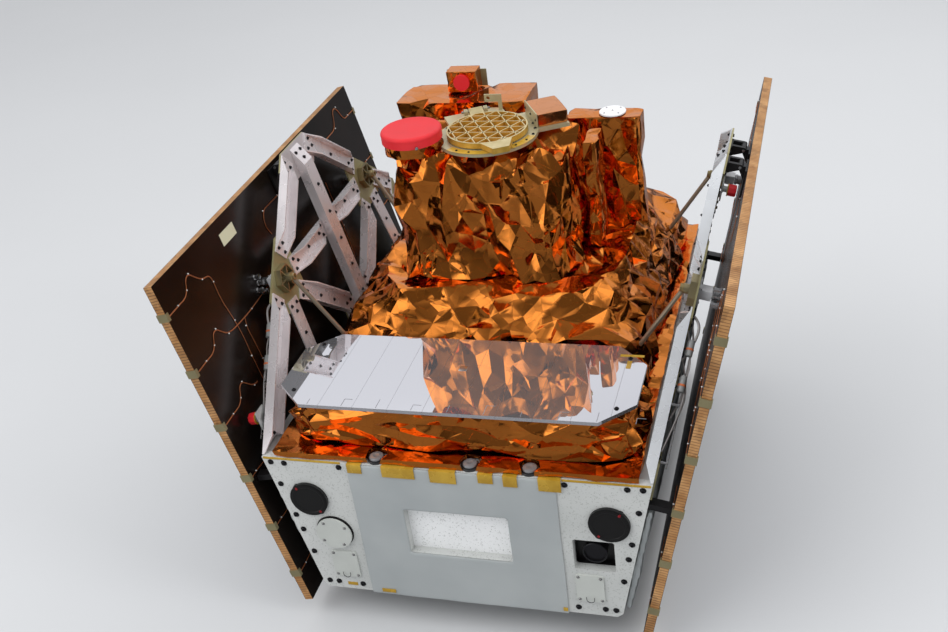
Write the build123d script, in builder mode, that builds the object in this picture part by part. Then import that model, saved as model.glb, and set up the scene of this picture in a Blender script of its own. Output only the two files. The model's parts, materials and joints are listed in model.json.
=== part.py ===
from build123d import *
import os
from math import cos, hypot, radians, sin, tan

# A small science satellite with a tapered body, two stowed solar wings and a foil-wrapped instrument.
# Millimetres. +Z is up, -Y is the front face, +X is the right wing seen from the front.
# The origin is the centre of the separation ring's lower face.

# Overall body
side_lean = 12.3          # lean of the side walls, side frames and wings from upright, degrees
body_depth = 1082.0
body_height = 364.0
deck_half_width = 419.2
wall = 20.0               # honeycomb wall of the body
bottom_corner = 10.0      # chamfer at the two lower corners of the end walls
seat = 0.3                # gap left between pieces that are bolted on leaning faces

# Separation ring
ring_height = 55.0
adapter_height = 40.0
bolt_circle = 609.6
bolt_count = 36
bolt_hole = 6.8
ring_flange_width = 26.0
ring_flange = 8.0
ring_web = 5.0

# Front face: drops are from the deck, insets from the face's leaning edge at that height
front_blanket_margin = 193.2    # bare face left at each side, at the deck
front_blanket_thickness = 4.0
front_blanket_drop = 3.0
window_width = 228.0
window_height = 121.0
window_drop = 173.5
tray_floor = 3.0
lens_cap_radius = 43.0
lens_cap_thickness = 7.0
lens_cap_ear = 8.0
lens_cap_ear_reach = 37.0
lens_cap_ear_turn = 38.0
lens_cap_inset = 68.3
lens_cap_drop = 105.0
cover_thickness = 4.0
round_cover_radius = 41.0
round_cover_inset = 91.2
round_cover_drop = 195.0
round_cover_standoff = 5.0
square_cover_width = 60.0
square_cover_height = 74.0
square_cover_inset = 80.2
square_cover_drop = 287.0
camera_width = 87.0
camera_height = 81.0
camera_inset = 85.9
camera_drop = 196.5
camera_corner = 6.0
camera_recess = 34.0
camera_wall = 3.0
camera_lens_radius = 24.0
camera_lens_length = 22.0

# Deck
deck_blanket_thickness = 16.0
deck_blanket_margin = 25.0
stud_radius = 19.0
stud_rim_height = 5.0
stud_dome_radius = 15.5
stud_height = 12.0
stud_inset = 19.5
stud_clearance = 1.5
stud_chamfer = 4.0

# Mirror radiator over the front of the deck
mirror_inset = 37.2
mirror_setback = 22.0
mirror_depth = 271.0
mirror_corner = 66.0
mirror_rise = 130.0
mirror_thickness = 8.0
mirror_overhang = 17.0    # over the skirt's top
skirt_flare = 34.0        # of the skirt's foot at the sides
skirt_front_flare = 6.0
skirt_rear_flare = 3.0

# Instrument base, the foil mound round the foot of the instrument
base_levels = (
    # rise above the deck blanket, side inset, setback behind the mirror, rear inset, corner
    (0.0, 41.2, 8.0, 17.0, 30.0),
    (93.0, 62.2, 16.0, 29.0, 40.0),
    (183.0, 129.2, 98.0, 55.0, 105.0),
)

# Instrument tower
tower_middle = -14.0
tower_width = 416.0
tower_setback = 142.0     # behind the mirror's rear edge
tower_depth = 283.0
tower_rise = 292.0        # above the instrument base
tower_corner = 90.0
box_corner = 12.0
pillar_reach = 38.0
pillar_setback = 165.0
pillar_depth = 90.0
pillar_drop = 31.0

# Round aperture with its lift-off cap
aperture_inset = 4.0
barrel_radius = 64.0
barrel_rise = 45.0
cap_wall = 3.0
cap_running_gap = 0.5
cap_clearance = 1.0
cap_crown = 4.7           # over the barrel's end
cap_height = 26.0
pin_radius = 3.0
pin_length = 6.0
pin_heading = -64.0

# Ribbed aperture door and its flange
door_offset = 10.0        # from the tower's middle
door_setback = 133.0
door_radius = 91.0
door_thickness = 13.0
door_gap = 2.0
door_skin = 3.0
door_rim = 3.5
rib_width = 2.4
rib_pitch = 35.9
rib_boss = 4.2
lattice_shift_x = -55.1   # one rib crossing, from the door's middle
lattice_shift_y = 63.4
flange_thickness = 8.0
flange_radius = 113.0
flange_tail_reach = 146.0    # past the hinge, from the door's middle
flange_tail_half_width = 68.0
flange_box_margin = 7.0
hinge_heading = 118.7
hinge_reach = 108.0
hinge_rise = 16.0
hinge_pin_radius = 3.0
hinge_pin_length = 66.0
hinge_clearance = 0.08
hinge_arm_root = 2.0
knuckle_radius = 6.5
knuckle_half_length = 16.0
lug_half_width = 4.5
lug_middle = 23.0
latch_reach = 127.0
latch_root_reach = 72.8
latch_tip_half_width = 18.0
latch_root_half_width = 40.0

# Pieces on the instrument's top
stop_shift_x = -9.0       # from the door's middle
stop_shift_y = 137.0
stop_height = 37.0
stop_width = 18.0
stop_plate = 3.0
stop_arm = 41.0
stop_hole = 4.5
drive_box_shift_x = 117.0 # from the door's middle
drive_box_shift_y = 87.0
drive_box_length = 98.0
drive_box_width = 70.0
drive_box_height = 29.0
drive_box_plate = 3.0
rear_box_overhang = 56.0  # past the tower's left side
rear_box_gap = 2.0
rear_box_width = 328.0
rear_box_depth = 144.0
rear_box_rise = 309.0     # above the instrument base
tracker_inset = 118.0     # from the rear box's left side
tracker_setback = 71.0    # from the rear box's front
tracker_width = 75.0
tracker_depth = 46.0
tracker_height = 52.0
tracker_cap_radius = 19.5
tracker_cap_thickness = 6.0
tracker_plate = 4.0
tracker_plate_height = 41.6
tracker_plate_overhang = 12.0
side_box_overhang = 118.0 # past the tower's right side
side_box_width = 181.0
side_box_gap = 3.0
side_box_depth = 72.0
side_box_rise = 269.0     # above the instrument base
patch_radius = 31.0
patch_thickness = 4.0
patch_inset = 70.0        # from the side box's right side
whip_radius = 1.5
whip_height = 190.0
whip_inset = 30.0         # from the base's upper right edge
whip_share = 1 / 3        # of the way from the side box to the base's upper rear edge
whip_foot_radius = 8.0
whip_foot_height = 8.0

# Side frames, in each leaning side plane: y along the body, u up the slope from the deck's edge
member_width = 46.0
member_depth = 22.5
member_plate = 3.0
member_taper = 50.0
post_taper = 44.0
gusset_thickness = 4.0
frame_knee_rise = 240.5
frame_peak_rise = 484.0
frame_front_knee_run = 355.0   # behind the front face
frame_rear_knee_run = 175.0    # ahead of the rear face
frame_peak_run = 633.0         # behind the front face
frame_foot_rise = 2.0
frame_corner_rise = 138.0
frame_end_foot_inset = 42.0
front_strap_spread = 14.0      # of the straps' feet, away from the middle
rear_strap_spread = 40.0
diagonal_shift = 17.0          # of the diagonals' axes above and below the knees
middle_foot_spread = 18.0
foot_overrun = 40.0            # of the members, cut off along the deck's edge
upper_setback = 42.0
lower_setback = 60.0
brace_setback = 58.0
tie_setback = 56.0
strap_setback = 55.0
corner_setback = 12.0
peak_setback = 69.0
post_setback = 32.0
middle_foot_setback = 32.0
centre_setback = 26.0

# Struts from the frames' knees to the instrument
strut_feet = (
    # side inset, rise above the deck and run towards the body's middle from its knee
    (70.2, 100.0, 1.0),
    (56.2, 134.0, 36.0),
)
strut_radius = 5.0
strut_bore_gap = 0.5
strut_depth_in_base = 60.0
fitting_radius = 34.0
fitting_boss_radius = 11.0
fitting_height = 26.0
fitting_block = 15.0
fitting_plate = 4.0
fitting_rib = 3.0

# Wings
wing_gap = 49.0           # from the side wall's plane to the wing's inner face
wing_thickness = 20.0
wing_overhang = 6.0
wing_length = 846.3
wing_top_rise = 440.8
hinge_below_top = 10.0
wing_hinge_standoff = 16.0
wing_pin_radius = 3.0
wing_pin_clearance = 0.08
wing_pin_overhang = 2.0
wing_lug_radius = 6.5
wing_lug_thickness = 8.0
wing_knuckle_half_length = 9.0
wing_knuckle_gap = 1.0
wing_bracket_plate = 4.0
wing_bracket_width = 60.0
wing_bracket_foot = 40.0
wing_bracket_length = 70.0
wing_hinge_spread = 88.0
clip_pitch = 138.3
clip_first = 73.8
clip_count = 6
clip_length = 18.0
clip_grip = 7.0
clip_plate = 2.0
clip_seat = 0.2
hold_block_width = 26.0
hold_block_height = 22.0
hold_block_flange = 4.0
hold_block_flange_width = 44.0
hold_cup_radius = 11.0
hold_cup_length = 16.0
hold_gap = 0.5
snubber_width = 22.0
snubber_height = 14.0
snubber_inset = 26.0
snubber_rise = -66.0
snubber_gap = 1.0
snubber_clearance_along = 30.0
snubber_clearance_up = 6.0
side_blanket_thickness = 14.0
side_blanket_rise = -64.0
side_blanket_margin = 12.0

# Levels and sides worked out from the values above
lean = radians(side_lean)
body_bottom = ring_height + adapter_height
deck_top = body_bottom + body_height
deck_blanket_top = deck_top + deck_blanket_thickness
base_top = deck_blanket_top + base_levels[-1][0]
bottom_half_width = deck_half_width - body_height * tan(lean)
front = -body_depth / 2
rear = body_depth / 2
inner_depth = body_depth - 2 * wall
window_middle = deck_top - window_drop
front_blanket_half_width = deck_half_width - front_blanket_margin
mirror_half_width = deck_half_width - mirror_inset
mirror_front = front + mirror_setback
mirror_rear = mirror_front + mirror_depth
mirror_top = deck_top + mirror_rise
tower_left = tower_middle - tower_width / 2
tower_right = tower_middle + tower_width / 2
tower_front = mirror_rear + tower_setback
tower_rear = tower_front + tower_depth
tower_top = base_top + tower_rise
aperture_x = tower_left + barrel_radius
aperture_y = tower_front + barrel_radius + aperture_inset
barrel_top = tower_top + barrel_rise
cap_top = barrel_top + cap_crown
door_x = tower_middle + door_offset
door_y = tower_front + door_setback
flange_top = tower_top + flange_thickness
door_bottom = flange_top + door_gap
door_top = door_bottom + door_thickness
hinge_level = flange_top + hinge_rise
hinge_angle = radians(hinge_heading)
drive_box_x = door_x + drive_box_shift_x
drive_box_y = door_y + drive_box_shift_y
hinge_x = door_x + hinge_reach * cos(hinge_angle)
hinge_y = door_y + hinge_reach * sin(hinge_angle)
frame_front_knee = front + frame_front_knee_run
frame_rear_knee = rear - frame_rear_knee_run
frame_peak = front + frame_peak_run
wing_depth = body_depth + 2 * wing_overhang
rear_box_left = tower_left - rear_box_overhang
rear_box_front = tower_rear + rear_box_gap
rear_box_top = base_top + rear_box_rise
tracker_left = rear_box_left + tracker_inset
tracker_front = rear_box_front + tracker_setback
side_box_left = tower_right + side_box_overhang - side_box_width
side_box_front = tower_rear + side_box_gap
side_box_top = base_top + side_box_rise
gusset_outer = seat + gusset_thickness
sides = (("left", -1), ("right", 1))


def half_width_at(height):
    """Half the body's width at a height, on its leaning side wall."""
    return deck_half_width + (height - deck_top) * tan(lean)


def face_point(side, inset, drop):
    """The x and z of a place on the front face, in from its leaning edge and down from the deck."""
    return side * (half_width_at(deck_top - drop) - inset), deck_top - drop


def side_plane(side, offset=0.0):
    """A plane parallel to a leaning side: x along the body, y up the slope, z outwards."""
    outward = Vector(side * cos(lean), 0, -sin(lean))
    edge = Vector(side * deck_half_width, 0, deck_top)
    return Plane(origin=edge + outward * offset, x_dir=(0, side, 0), z_dir=outward)


def side_point(side, along, rise, out):
    """The point of a leaning side at a place along the body, up the slope and outwards."""
    return side_plane(side).from_local_coords(Vector(side * along, rise, out))


def write(piece, name):
    """Label a finished piece and write it to its own file."""
    piece.part.label = name
    export_step(piece.part, f"parts/{name}.step")


os.makedirs("parts", exist_ok=True)

# Separation ring: the lower ring with its bolt circle, and the adapter that bolts to the body
ring_middle = bolt_circle / 2
with BuildPart() as separation_ring:
    with BuildSketch(Plane.XZ) as profile:
        with BuildLine() as outline:
            Polyline(
                (ring_middle - ring_flange_width / 2, 0),
                (ring_middle + ring_flange_width / 2, 0),
                (ring_middle + ring_flange_width / 2, ring_flange),
                (ring_middle - ring_flange_width / 2 + ring_web, ring_flange),
                (ring_middle - ring_flange_width / 2 + ring_web, ring_height),
                (ring_middle - ring_flange_width / 2, ring_height),
                close=True,
            )
        make_face()
    revolve(axis=Axis.Z)
    with PolarLocations(ring_middle, bolt_count):
        Cylinder(
            bolt_hole / 2, ring_flange, align=(Align.CENTER, Align.CENTER, Align.MIN), mode=Mode.SUBTRACT
        )
write(separation_ring, "separation_ring")

with BuildPart() as adapter_ring:
    with BuildSketch(Plane.XZ) as profile:
        with BuildLine() as outline:
            Polyline(
                (ring_middle - ring_flange_width / 2, ring_height),
                (ring_middle + ring_flange_width / 2, ring_height),
                (ring_middle + ring_flange_width / 2, ring_height + ring_flange),
                (ring_middle - ring_flange_width / 2 + ring_web, ring_height + ring_flange),
                (ring_middle - ring_flange_width / 2 + ring_web, body_bottom - ring_flange),
                (ring_middle + ring_flange_width / 2, body_bottom - ring_flange),
                (ring_middle + ring_flange_width / 2, body_bottom),
                (ring_middle - ring_flange_width / 2, body_bottom),
                close=True,
            )
        make_face()
    revolve(axis=Axis.Z)
write(adapter_ring, "adapter_ring")


# Body walls
def end_wall_outline():
    """The end walls' tapered outline with its two chamfered lower corners."""
    corner_run = bottom_corner * tan(lean)
    Polygon(
        (-deck_half_width, deck_top),
        (-bottom_half_width - corner_run, body_bottom + bottom_corner),
        (-bottom_half_width + bottom_corner, body_bottom),
        (bottom_half_width - bottom_corner, body_bottom),
        (bottom_half_width + corner_run, body_bottom + bottom_corner),
        (deck_half_width, deck_top),
        align=None,
    )


camera_place = face_point(1, camera_inset, camera_drop)
with BuildPart() as front_wall:
    with BuildSketch(Plane.XZ.offset(-front)) as outline:
        end_wall_outline()
        with Locations((0, window_middle)):
            Rectangle(window_width, window_height, mode=Mode.SUBTRACT)
        with Locations(camera_place):
            RectangleRounded(camera_width, camera_height, camera_corner, mode=Mode.SUBTRACT)
    extrude(amount=-wall)
write(front_wall, "front_wall")

with BuildPart() as rear_wall:
    with BuildSketch(Plane.XZ.offset(-rear)) as outline:
        end_wall_outline()
    extrude(amount=wall)
write(rear_wall, "rear_wall")

side_run = wall / cos(lean)
with BuildPart() as deck_wall:
    with BuildSketch(Plane.XZ.offset(inner_depth / 2)) as outline:
        Polygon(
            (-deck_half_width, deck_top),
            (-half_width_at(deck_top - wall), deck_top - wall),
            (half_width_at(deck_top - wall), deck_top - wall),
            (deck_half_width, deck_top),
            align=None,
        )
    extrude(amount=-inner_depth)
write(deck_wall, "deck_wall")

with BuildPart() as bottom_wall:
    with BuildSketch(Plane.XZ.offset(inner_depth / 2)) as outline:
        Polygon(
            (-half_width_at(body_bottom + wall), body_bottom + wall),
            (-bottom_half_width, body_bottom),
            (bottom_half_width, body_bottom),
            (half_width_at(body_bottom + wall), body_bottom + wall),
            align=None,
        )
    extrude(amount=-inner_depth)
write(bottom_wall, "bottom_wall")

for name, side in sides:
    with BuildPart() as side_wall:
        with BuildSketch(Plane.XZ.offset(inner_depth / 2)) as outline:
            Polygon(
                (side * half_width_at(deck_top - wall), deck_top - wall),
                (side * half_width_at(body_bottom + wall), body_bottom + wall),
                (side * (half_width_at(body_bottom + wall) - side_run), body_bottom + wall),
                (side * (half_width_at(deck_top - wall) - side_run), deck_top - wall),
                align=None,
            )
        extrude(amount=-inner_depth)
    write(side_wall, f"{name}_side_wall")

# Grey blanket over the middle of the front face, with the window cut in it
with BuildPart() as front_blanket:
    with BuildSketch(Plane.XZ.offset(-front)) as outline:
        with Locations((0, (deck_top + body_bottom - front_blanket_drop) / 2)):
            Rectangle(2 * front_blanket_half_width, body_height + front_blanket_drop)
        with Locations((0, window_middle)):
            Rectangle(window_width, window_height, mode=Mode.SUBTRACT)
    extrude(amount=front_blanket_thickness)
write(front_blanket, "front_blanket")

# Tray behind the window: an open-fronted box with a white floor
with BuildPart() as window_tray:
    with BuildSketch(Plane.XZ.offset(-front - wall)) as outline:
        with Locations((0, window_middle)):
            Rectangle(window_width + 2 * wall, window_height + 2 * wall)
    extrude(amount=-tray_floor)
write(window_tray, "window_tray")

# Camera box behind the rounded opening, with a lens barrel in it
with BuildPart() as camera_box:
    with BuildSketch(Plane.XZ.offset(-front - wall)) as outline:
        with Locations(camera_place):
            Rectangle(camera_width + 2 * camera_wall, camera_height + 2 * camera_wall)
    extrude(amount=-(camera_recess - wall + camera_wall))
    with BuildSketch(Plane.XZ.offset(-front - wall)) as opening:
        with Locations(camera_place):
            Rectangle(camera_width, camera_height)
    extrude(amount=-(camera_recess - wall), mode=Mode.SUBTRACT)
    with BuildSketch(Plane.XZ.offset(-front - camera_recess)) as lens:
        with Locations(camera_place):
            Circle(camera_lens_radius)
            Circle(camera_lens_radius - camera_wall, mode=Mode.SUBTRACT)
    extrude(amount=camera_lens_length)
write(camera_box, "camera_box")

# Black lens caps, each a flat disc with two screw ears on its diagonal
with BuildPart() as lens_caps:
    with BuildSketch(Plane.XZ.offset(-front)) as outline:
        for name, side in sides:
            with Locations(face_point(side, lens_cap_inset, lens_cap_drop)):
                Circle(lens_cap_radius)
                with PolarLocations(lens_cap_ear_reach, 2, start_angle=90 - side * lens_cap_ear_turn):
                    Circle(lens_cap_ear)
    extrude(amount=lens_cap_thickness)
write(lens_caps, "lens_caps")

# Cover plates: one round on stand-offs, and a square one on each side
with BuildPart() as cover_plates:
    with BuildSketch(Plane.XZ.offset(-front)) as collar:
        with Locations(face_point(-1, round_cover_inset, round_cover_drop)):
            Circle(round_cover_radius - round_cover_standoff)
    extrude(amount=round_cover_standoff)
    with BuildSketch(Plane.XZ.offset(-front + round_cover_standoff)) as disc:
        with Locations(face_point(-1, round_cover_inset, round_cover_drop)):
            Circle(round_cover_radius)
    extrude(amount=cover_thickness)
    with BuildSketch(Plane.XZ.offset(-front)) as plates:
        for name, side in sides:
            with Locations(face_point(side, square_cover_inset, square_cover_drop)):
                RectangleRounded(square_cover_width, square_cover_height, camera_corner)
    extrude(amount=cover_thickness)
write(cover_plates, "cover_plates")

# Deck blanket with round openings for the studs at its front edge
stud_places = (-161.0, 44.0, 169.5)
deck_blanket_half_width = deck_half_width - deck_blanket_margin
with BuildPart() as deck_blanket:
    with BuildSketch(Plane.XY.offset(deck_top)) as outline:
        Rectangle(2 * deck_blanket_half_width, body_depth)
        with Locations(*[(x, front + stud_inset) for x in stud_places]):
            Circle(stud_radius + stud_clearance, mode=Mode.SUBTRACT)
    extrude(amount=deck_blanket_thickness)
write(deck_blanket, "deck_blanket")

with BuildPart() as deck_studs:
    with BuildSketch(Plane.XY.offset(deck_top)) as outline:
        with Locations(*[(x, front + stud_inset) for x in stud_places]):
            Circle(stud_radius)
    extrude(amount=stud_rim_height)
    with BuildSketch(Plane.XY.offset(deck_top + stud_rim_height)) as domes:
        with Locations(*[(x, front + stud_inset) for x in stud_places]):
            Circle(stud_dome_radius)
    extrude(amount=stud_height - stud_rim_height)
    chamfer(deck_studs.faces().sort_by(Axis.Z)[-len(stud_places):].edges(), stud_chamfer)
write(deck_studs, "deck_studs")


# Mirror radiator: an octagonal plate on a foil-skirted box
def octagon(half_width, low, high, corner):
    """A rectangle from low to high with its four corners cut at 45 degrees."""
    with Locations((0, (low + high) / 2)):
        Rectangle(2 * half_width, high - low)
    chamfer(vertices(), corner)


with BuildPart() as mirror_box:
    with BuildSketch(Plane.XY.offset(deck_blanket_top)) as foot:
        octagon(
            mirror_half_width - mirror_overhang + skirt_flare,
            mirror_front + mirror_overhang - skirt_front_flare,
            mirror_rear - mirror_overhang + skirt_rear_flare,
            mirror_corner,
        )
    with BuildSketch(Plane.XY.offset(mirror_top - mirror_thickness)) as head:
        octagon(
            mirror_half_width - mirror_overhang,
            mirror_front + mirror_overhang,
            mirror_rear - mirror_overhang,
            mirror_corner,
        )
    loft(ruled=True)
write(mirror_box, "mirror_box")

with BuildPart() as mirror_plate:
    with BuildSketch(Plane.XY.offset(mirror_top - mirror_thickness)) as outline:
        octagon(mirror_half_width, mirror_front, mirror_rear, mirror_corner)
    extrude(amount=mirror_thickness)
write(mirror_plate, "mirror_plate")

# Instrument base: a hipped form, bored where the four struts enter it
strut_ends = []
for name, side in sides:
    for along, (inset, rise, run) in zip((frame_front_knee, frame_rear_knee), strut_feet):
        head = side_point(side, along, frame_knee_rise, -fitting_height)
        entry = Vector(side * (deck_half_width - inset), along - run, deck_top + rise)
        tip = entry + (entry - head).normalized() * strut_depth_in_base
        strut_ends.append((head, tip))

with BuildPart() as instrument_base:
    for rise, side_inset, setback, rear_inset, corner in base_levels:
        with BuildSketch(Plane.XY.offset(deck_blanket_top + rise)) as level:
            octagon(deck_half_width - side_inset, mirror_rear + setback, rear - rear_inset, corner)
    loft(ruled=True)
    for head, tip in strut_ends:
        with BuildSketch(Plane(origin=tip, z_dir=head - tip)) as bore:
            Circle(strut_radius + strut_bore_gap)
        extrude(amount=(head - tip).length, mode=Mode.SUBTRACT)
write(instrument_base, "instrument_base")

# Instrument tower, rounded at its front corners, the left one round the aperture's barrel
with BuildPart() as instrument_tower:
    with BuildSketch(Plane.XY.offset(base_top)) as outline:
        with Locations((tower_middle, (tower_front + tower_rear) / 2)):
            Rectangle(tower_width, tower_depth)
        fillet(vertices().group_by(Axis.Y)[0].sort_by(Axis.X)[0], barrel_radius)
        fillet(vertices().group_by(Axis.Y)[0].sort_by(Axis.X)[-1], tower_corner)
        chamfer(vertices().group_by(Axis.Y)[-1], box_corner)
    extrude(amount=tower_rise)
write(instrument_tower, "instrument_tower")

with BuildPart() as aperture_barrel:
    with BuildSketch(Plane.XY.offset(tower_top)) as outline:
        with Locations((aperture_x, aperture_y)):
            Circle(barrel_radius)
    extrude(amount=barrel_top - tower_top)
write(aperture_barrel, "aperture_barrel")

with BuildPart() as instrument_pillar:
    with BuildSketch(Plane.XY.offset(base_top)) as outline:
        with Locations((tower_right, tower_front + pillar_setback)):
            Rectangle(pillar_reach, pillar_depth, align=(Align.MIN, Align.MIN))
    extrude(amount=tower_rise - pillar_drop)
write(instrument_pillar, "instrument_pillar")

# Lift-off cap over the round aperture
cap_radius = barrel_radius + cap_running_gap + cap_wall
with BuildPart() as aperture_cap:
    with BuildSketch(Plane.XY.offset(cap_top)) as top:
        with Locations((aperture_x, aperture_y)):
            Circle(cap_radius)
    extrude(amount=-cap_height)
    chamfer(aperture_cap.faces().sort_by(Axis.Z)[-1].edges(), cap_wall)
    with BuildSketch(Plane.XY.offset(cap_top - cap_height)) as hollow:
        with Locations((aperture_x, aperture_y)):
            Circle(barrel_radius + cap_running_gap)
    extrude(amount=barrel_top + seat - (cap_top - cap_height), mode=Mode.SUBTRACT)
    pin_angle = radians(pin_heading)
    pin_place = Vector(
        aperture_x + (cap_radius - cap_wall / 2) * cos(pin_angle),
        aperture_y + (cap_radius - cap_wall / 2) * sin(pin_angle),
        cap_top - cap_height + 2 * pin_radius,
    )
    with BuildSketch(Plane(origin=pin_place, z_dir=(cos(pin_angle), sin(pin_angle), 0))) as pin:
        Circle(pin_radius)
    extrude(amount=pin_length + cap_wall / 2)
write(aperture_cap, "aperture_cap")

# Door flange on the tower's top, cut clear of the barrel, with the hinge's two lugs
hinge_plane = Plane(
    origin=(hinge_x, hinge_y, hinge_level),
    x_dir=(cos(hinge_angle), sin(hinge_angle), 0),
    z_dir=(sin(hinge_angle), -cos(hinge_angle), 0),
)
with BuildPart() as door_flange:
    with BuildSketch(Plane.XY.offset(tower_top)) as outline:
        with Locations((door_x, door_y)):
            Circle(flange_radius)
        with Locations(Location((door_x, door_y), hinge_heading)):
            Rectangle(flange_tail_reach, 2 * flange_tail_half_width, align=(Align.MIN, Align.CENTER))
        with Locations(Location((drive_box_x, drive_box_y), hinge_heading)):
            with Locations((0, drive_box_width / 2)):
                Rectangle(drive_box_length + 2 * flange_box_margin, 2 * drive_box_width)
        with Locations((aperture_x, aperture_y)):
            Circle(cap_radius + cap_clearance, mode=Mode.SUBTRACT)
        split(bisect_by=Plane.XZ.offset(-tower_rear), keep=Keep.TOP)
    extrude(amount=flange_thickness)
    for lug_side in (-1, 1):
        with BuildSketch(hinge_plane.offset(lug_side * lug_middle - lug_half_width)) as lug:
            Circle(knuckle_radius)
            with Locations((0, -hinge_rise / 2)):
                Rectangle(2 * knuckle_radius, hinge_rise)
            Circle(hinge_pin_radius, mode=Mode.SUBTRACT)
        extrude(amount=2 * lug_half_width)
write(door_flange, "door_flange")

with BuildPart() as door_pin:
    with BuildSketch(hinge_plane.offset(-hinge_pin_length / 2)) as outline:
        Circle(hinge_pin_radius)
    extrude(amount=hinge_pin_length)
write(door_pin, "door_pin")

# Ribbed door: a round plate with triangular pockets, a latch tongue and two hinge knuckles
door_plane = Plane(
    origin=(door_x, door_y, door_bottom),
    x_dir=(cos(hinge_angle), sin(hinge_angle), 0),
    z_dir=(0, 0, 1),
)
lattice_lines = range(-8, 9)
lattice_x = door_x + lattice_shift_x
lattice_y = door_y + lattice_shift_y
row_height = rib_pitch * sin(radians(60))
with BuildPart() as aperture_door:
    with BuildSketch(door_plane) as outline:
        Circle(door_radius)
        Polygon(
            (-latch_root_reach, -latch_root_half_width),
            (-latch_reach, -latch_tip_half_width),
            (-latch_reach, latch_tip_half_width),
            (-latch_root_reach, latch_root_half_width),
            align=None,
        )
    extrude(amount=door_thickness)
    with BuildSketch(Plane.XY.offset(door_top)) as pockets:
        with Locations((door_x, door_y)):
            Circle(door_radius - door_rim)
        for heading in (0, 60, 120):
            with Locations(*[
                Location((lattice_x, lattice_y), heading) * Location((0, line * row_height))
                for line in lattice_lines
            ]):
                Rectangle(8 * door_radius, rib_width, mode=Mode.SUBTRACT)
        with Locations(*[
            (lattice_x + (column + row / 2) * rib_pitch, lattice_y + row * row_height)
            for row in lattice_lines
            for column in lattice_lines
        ]):
            Circle(rib_boss, mode=Mode.SUBTRACT)
    extrude(amount=-(door_thickness - door_skin), mode=Mode.SUBTRACT)
    with BuildSketch(hinge_plane.offset(-knuckle_half_length)) as knuckle:
        Circle(knuckle_radius)
        Polygon(
            (0, knuckle_radius),
            (0, -knuckle_radius),
            (door_radius - hinge_reach - hinge_arm_root, door_bottom - hinge_level),
            (door_radius - hinge_reach - hinge_arm_root, door_top - hinge_level),
            align=None,
        )
    extrude(amount=2 * knuckle_half_length)
    with BuildSketch(hinge_plane.offset(-knuckle_half_length)) as bore:
        Circle(hinge_pin_radius + hinge_clearance)
    extrude(amount=2 * knuckle_half_length, mode=Mode.SUBTRACT)
write(aperture_door, "aperture_door")

# Door stop: a bent bracket with a hole in its arm
stop_right = door_x + stop_shift_x + stop_width / 2
with BuildPart() as door_stop:
    with BuildSketch(Plane.XZ.offset(-door_y - stop_shift_y)) as outline:
        with Locations((stop_right, flange_top)):
            Rectangle(stop_width / 2, stop_height, align=(Align.MAX, Align.MIN))
        with Locations((stop_right, flange_top + stop_height)):
            Rectangle(stop_arm, stop_width, align=(Align.MAX, Align.MAX))
        with Locations((stop_right - stop_arm + stop_width / 2, flange_top + stop_height - stop_width / 2)):
            Circle(stop_hole, mode=Mode.SUBTRACT)
    extrude(amount=-stop_plate)
write(door_stop, "door_stop")

# Door drive box beside the door, turned with the hinge
drive_plane = Plane(
    origin=(drive_box_x, drive_box_y, flange_top),
    x_dir=(cos(hinge_angle), sin(hinge_angle), 0),
    z_dir=(0, 0, 1),
)
with BuildPart() as door_drive_box:
    with BuildSketch(drive_plane) as outline:
        Rectangle(drive_box_length, drive_box_width)
    extrude(amount=drive_box_height)
    with BuildSketch(drive_plane) as plate:
        with Locations((0, drive_box_width / 2)):
            Rectangle(drive_box_length, drive_box_plate, align=(Align.CENTER, Align.MIN))
    extrude(amount=drive_box_height + drive_box_plate)
write(door_drive_box, "door_drive_box")

# Foil boxes behind the tower
with BuildPart() as rear_box:
    with BuildSketch(Plane.XY.offset(base_top)) as outline:
        with Locations((rear_box_left, rear_box_front)):
            Rectangle(rear_box_width, rear_box_depth, align=(Align.MIN, Align.MIN))
        chamfer(vertices(), box_corner)
    extrude(amount=rear_box_rise)
write(rear_box, "rear_box")

with BuildPart() as side_box:
    with BuildSketch(Plane.XY.offset(base_top)) as outline:
        with Locations((side_box_left, side_box_front)):
            Rectangle(side_box_width, side_box_depth, align=(Align.MIN, Align.MIN))
        chamfer(vertices(), box_corner)
    extrude(amount=side_box_rise)
write(side_box, "side_box")

# Star tracker on the rear box, with its mounting plate and its round cap
with BuildPart() as star_tracker:
    with BuildSketch(Plane.XY.offset(rear_box_top)) as outline:
        with Locations((tracker_left, tracker_front)):
            Rectangle(tracker_width, tracker_depth, align=(Align.MIN, Align.MIN))
    extrude(amount=tracker_height)
    chamfer(star_tracker.faces().sort_by(Axis.Z)[-1].edges(), tracker_plate / 2)
    with BuildSketch(Plane.XY.offset(rear_box_top)) as plate:
        with Locations((tracker_left + tracker_width / 2, tracker_front + tracker_depth)):
            Rectangle(
                tracker_width + 2 * tracker_plate_overhang, tracker_plate, align=(Align.CENTER, Align.MIN)
            )
    extrude(amount=tracker_plate_height)
write(star_tracker, "star_tracker")

with BuildPart() as tracker_cap:
    with BuildSketch(Plane.XZ.offset(-tracker_front)) as outline:
        with Locations((tracker_left + tracker_width / 2, rear_box_top + tracker_height / 2)):
            Circle(tracker_cap_radius)
    extrude(amount=tracker_cap_thickness)
write(tracker_cap, "tracker_cap")

with BuildPart() as patch_antenna:
    with BuildSketch(Plane.XY.offset(side_box_top)) as outline:
        with Locations((side_box_left + side_box_width - patch_inset, side_box_front + side_box_depth / 2)):
            Circle(patch_radius)
    extrude(amount=patch_thickness)
    chamfer(patch_antenna.faces().sort_by(Axis.Z)[-1].edges(), patch_thickness / 3)
write(patch_antenna, "patch_antenna")

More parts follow.
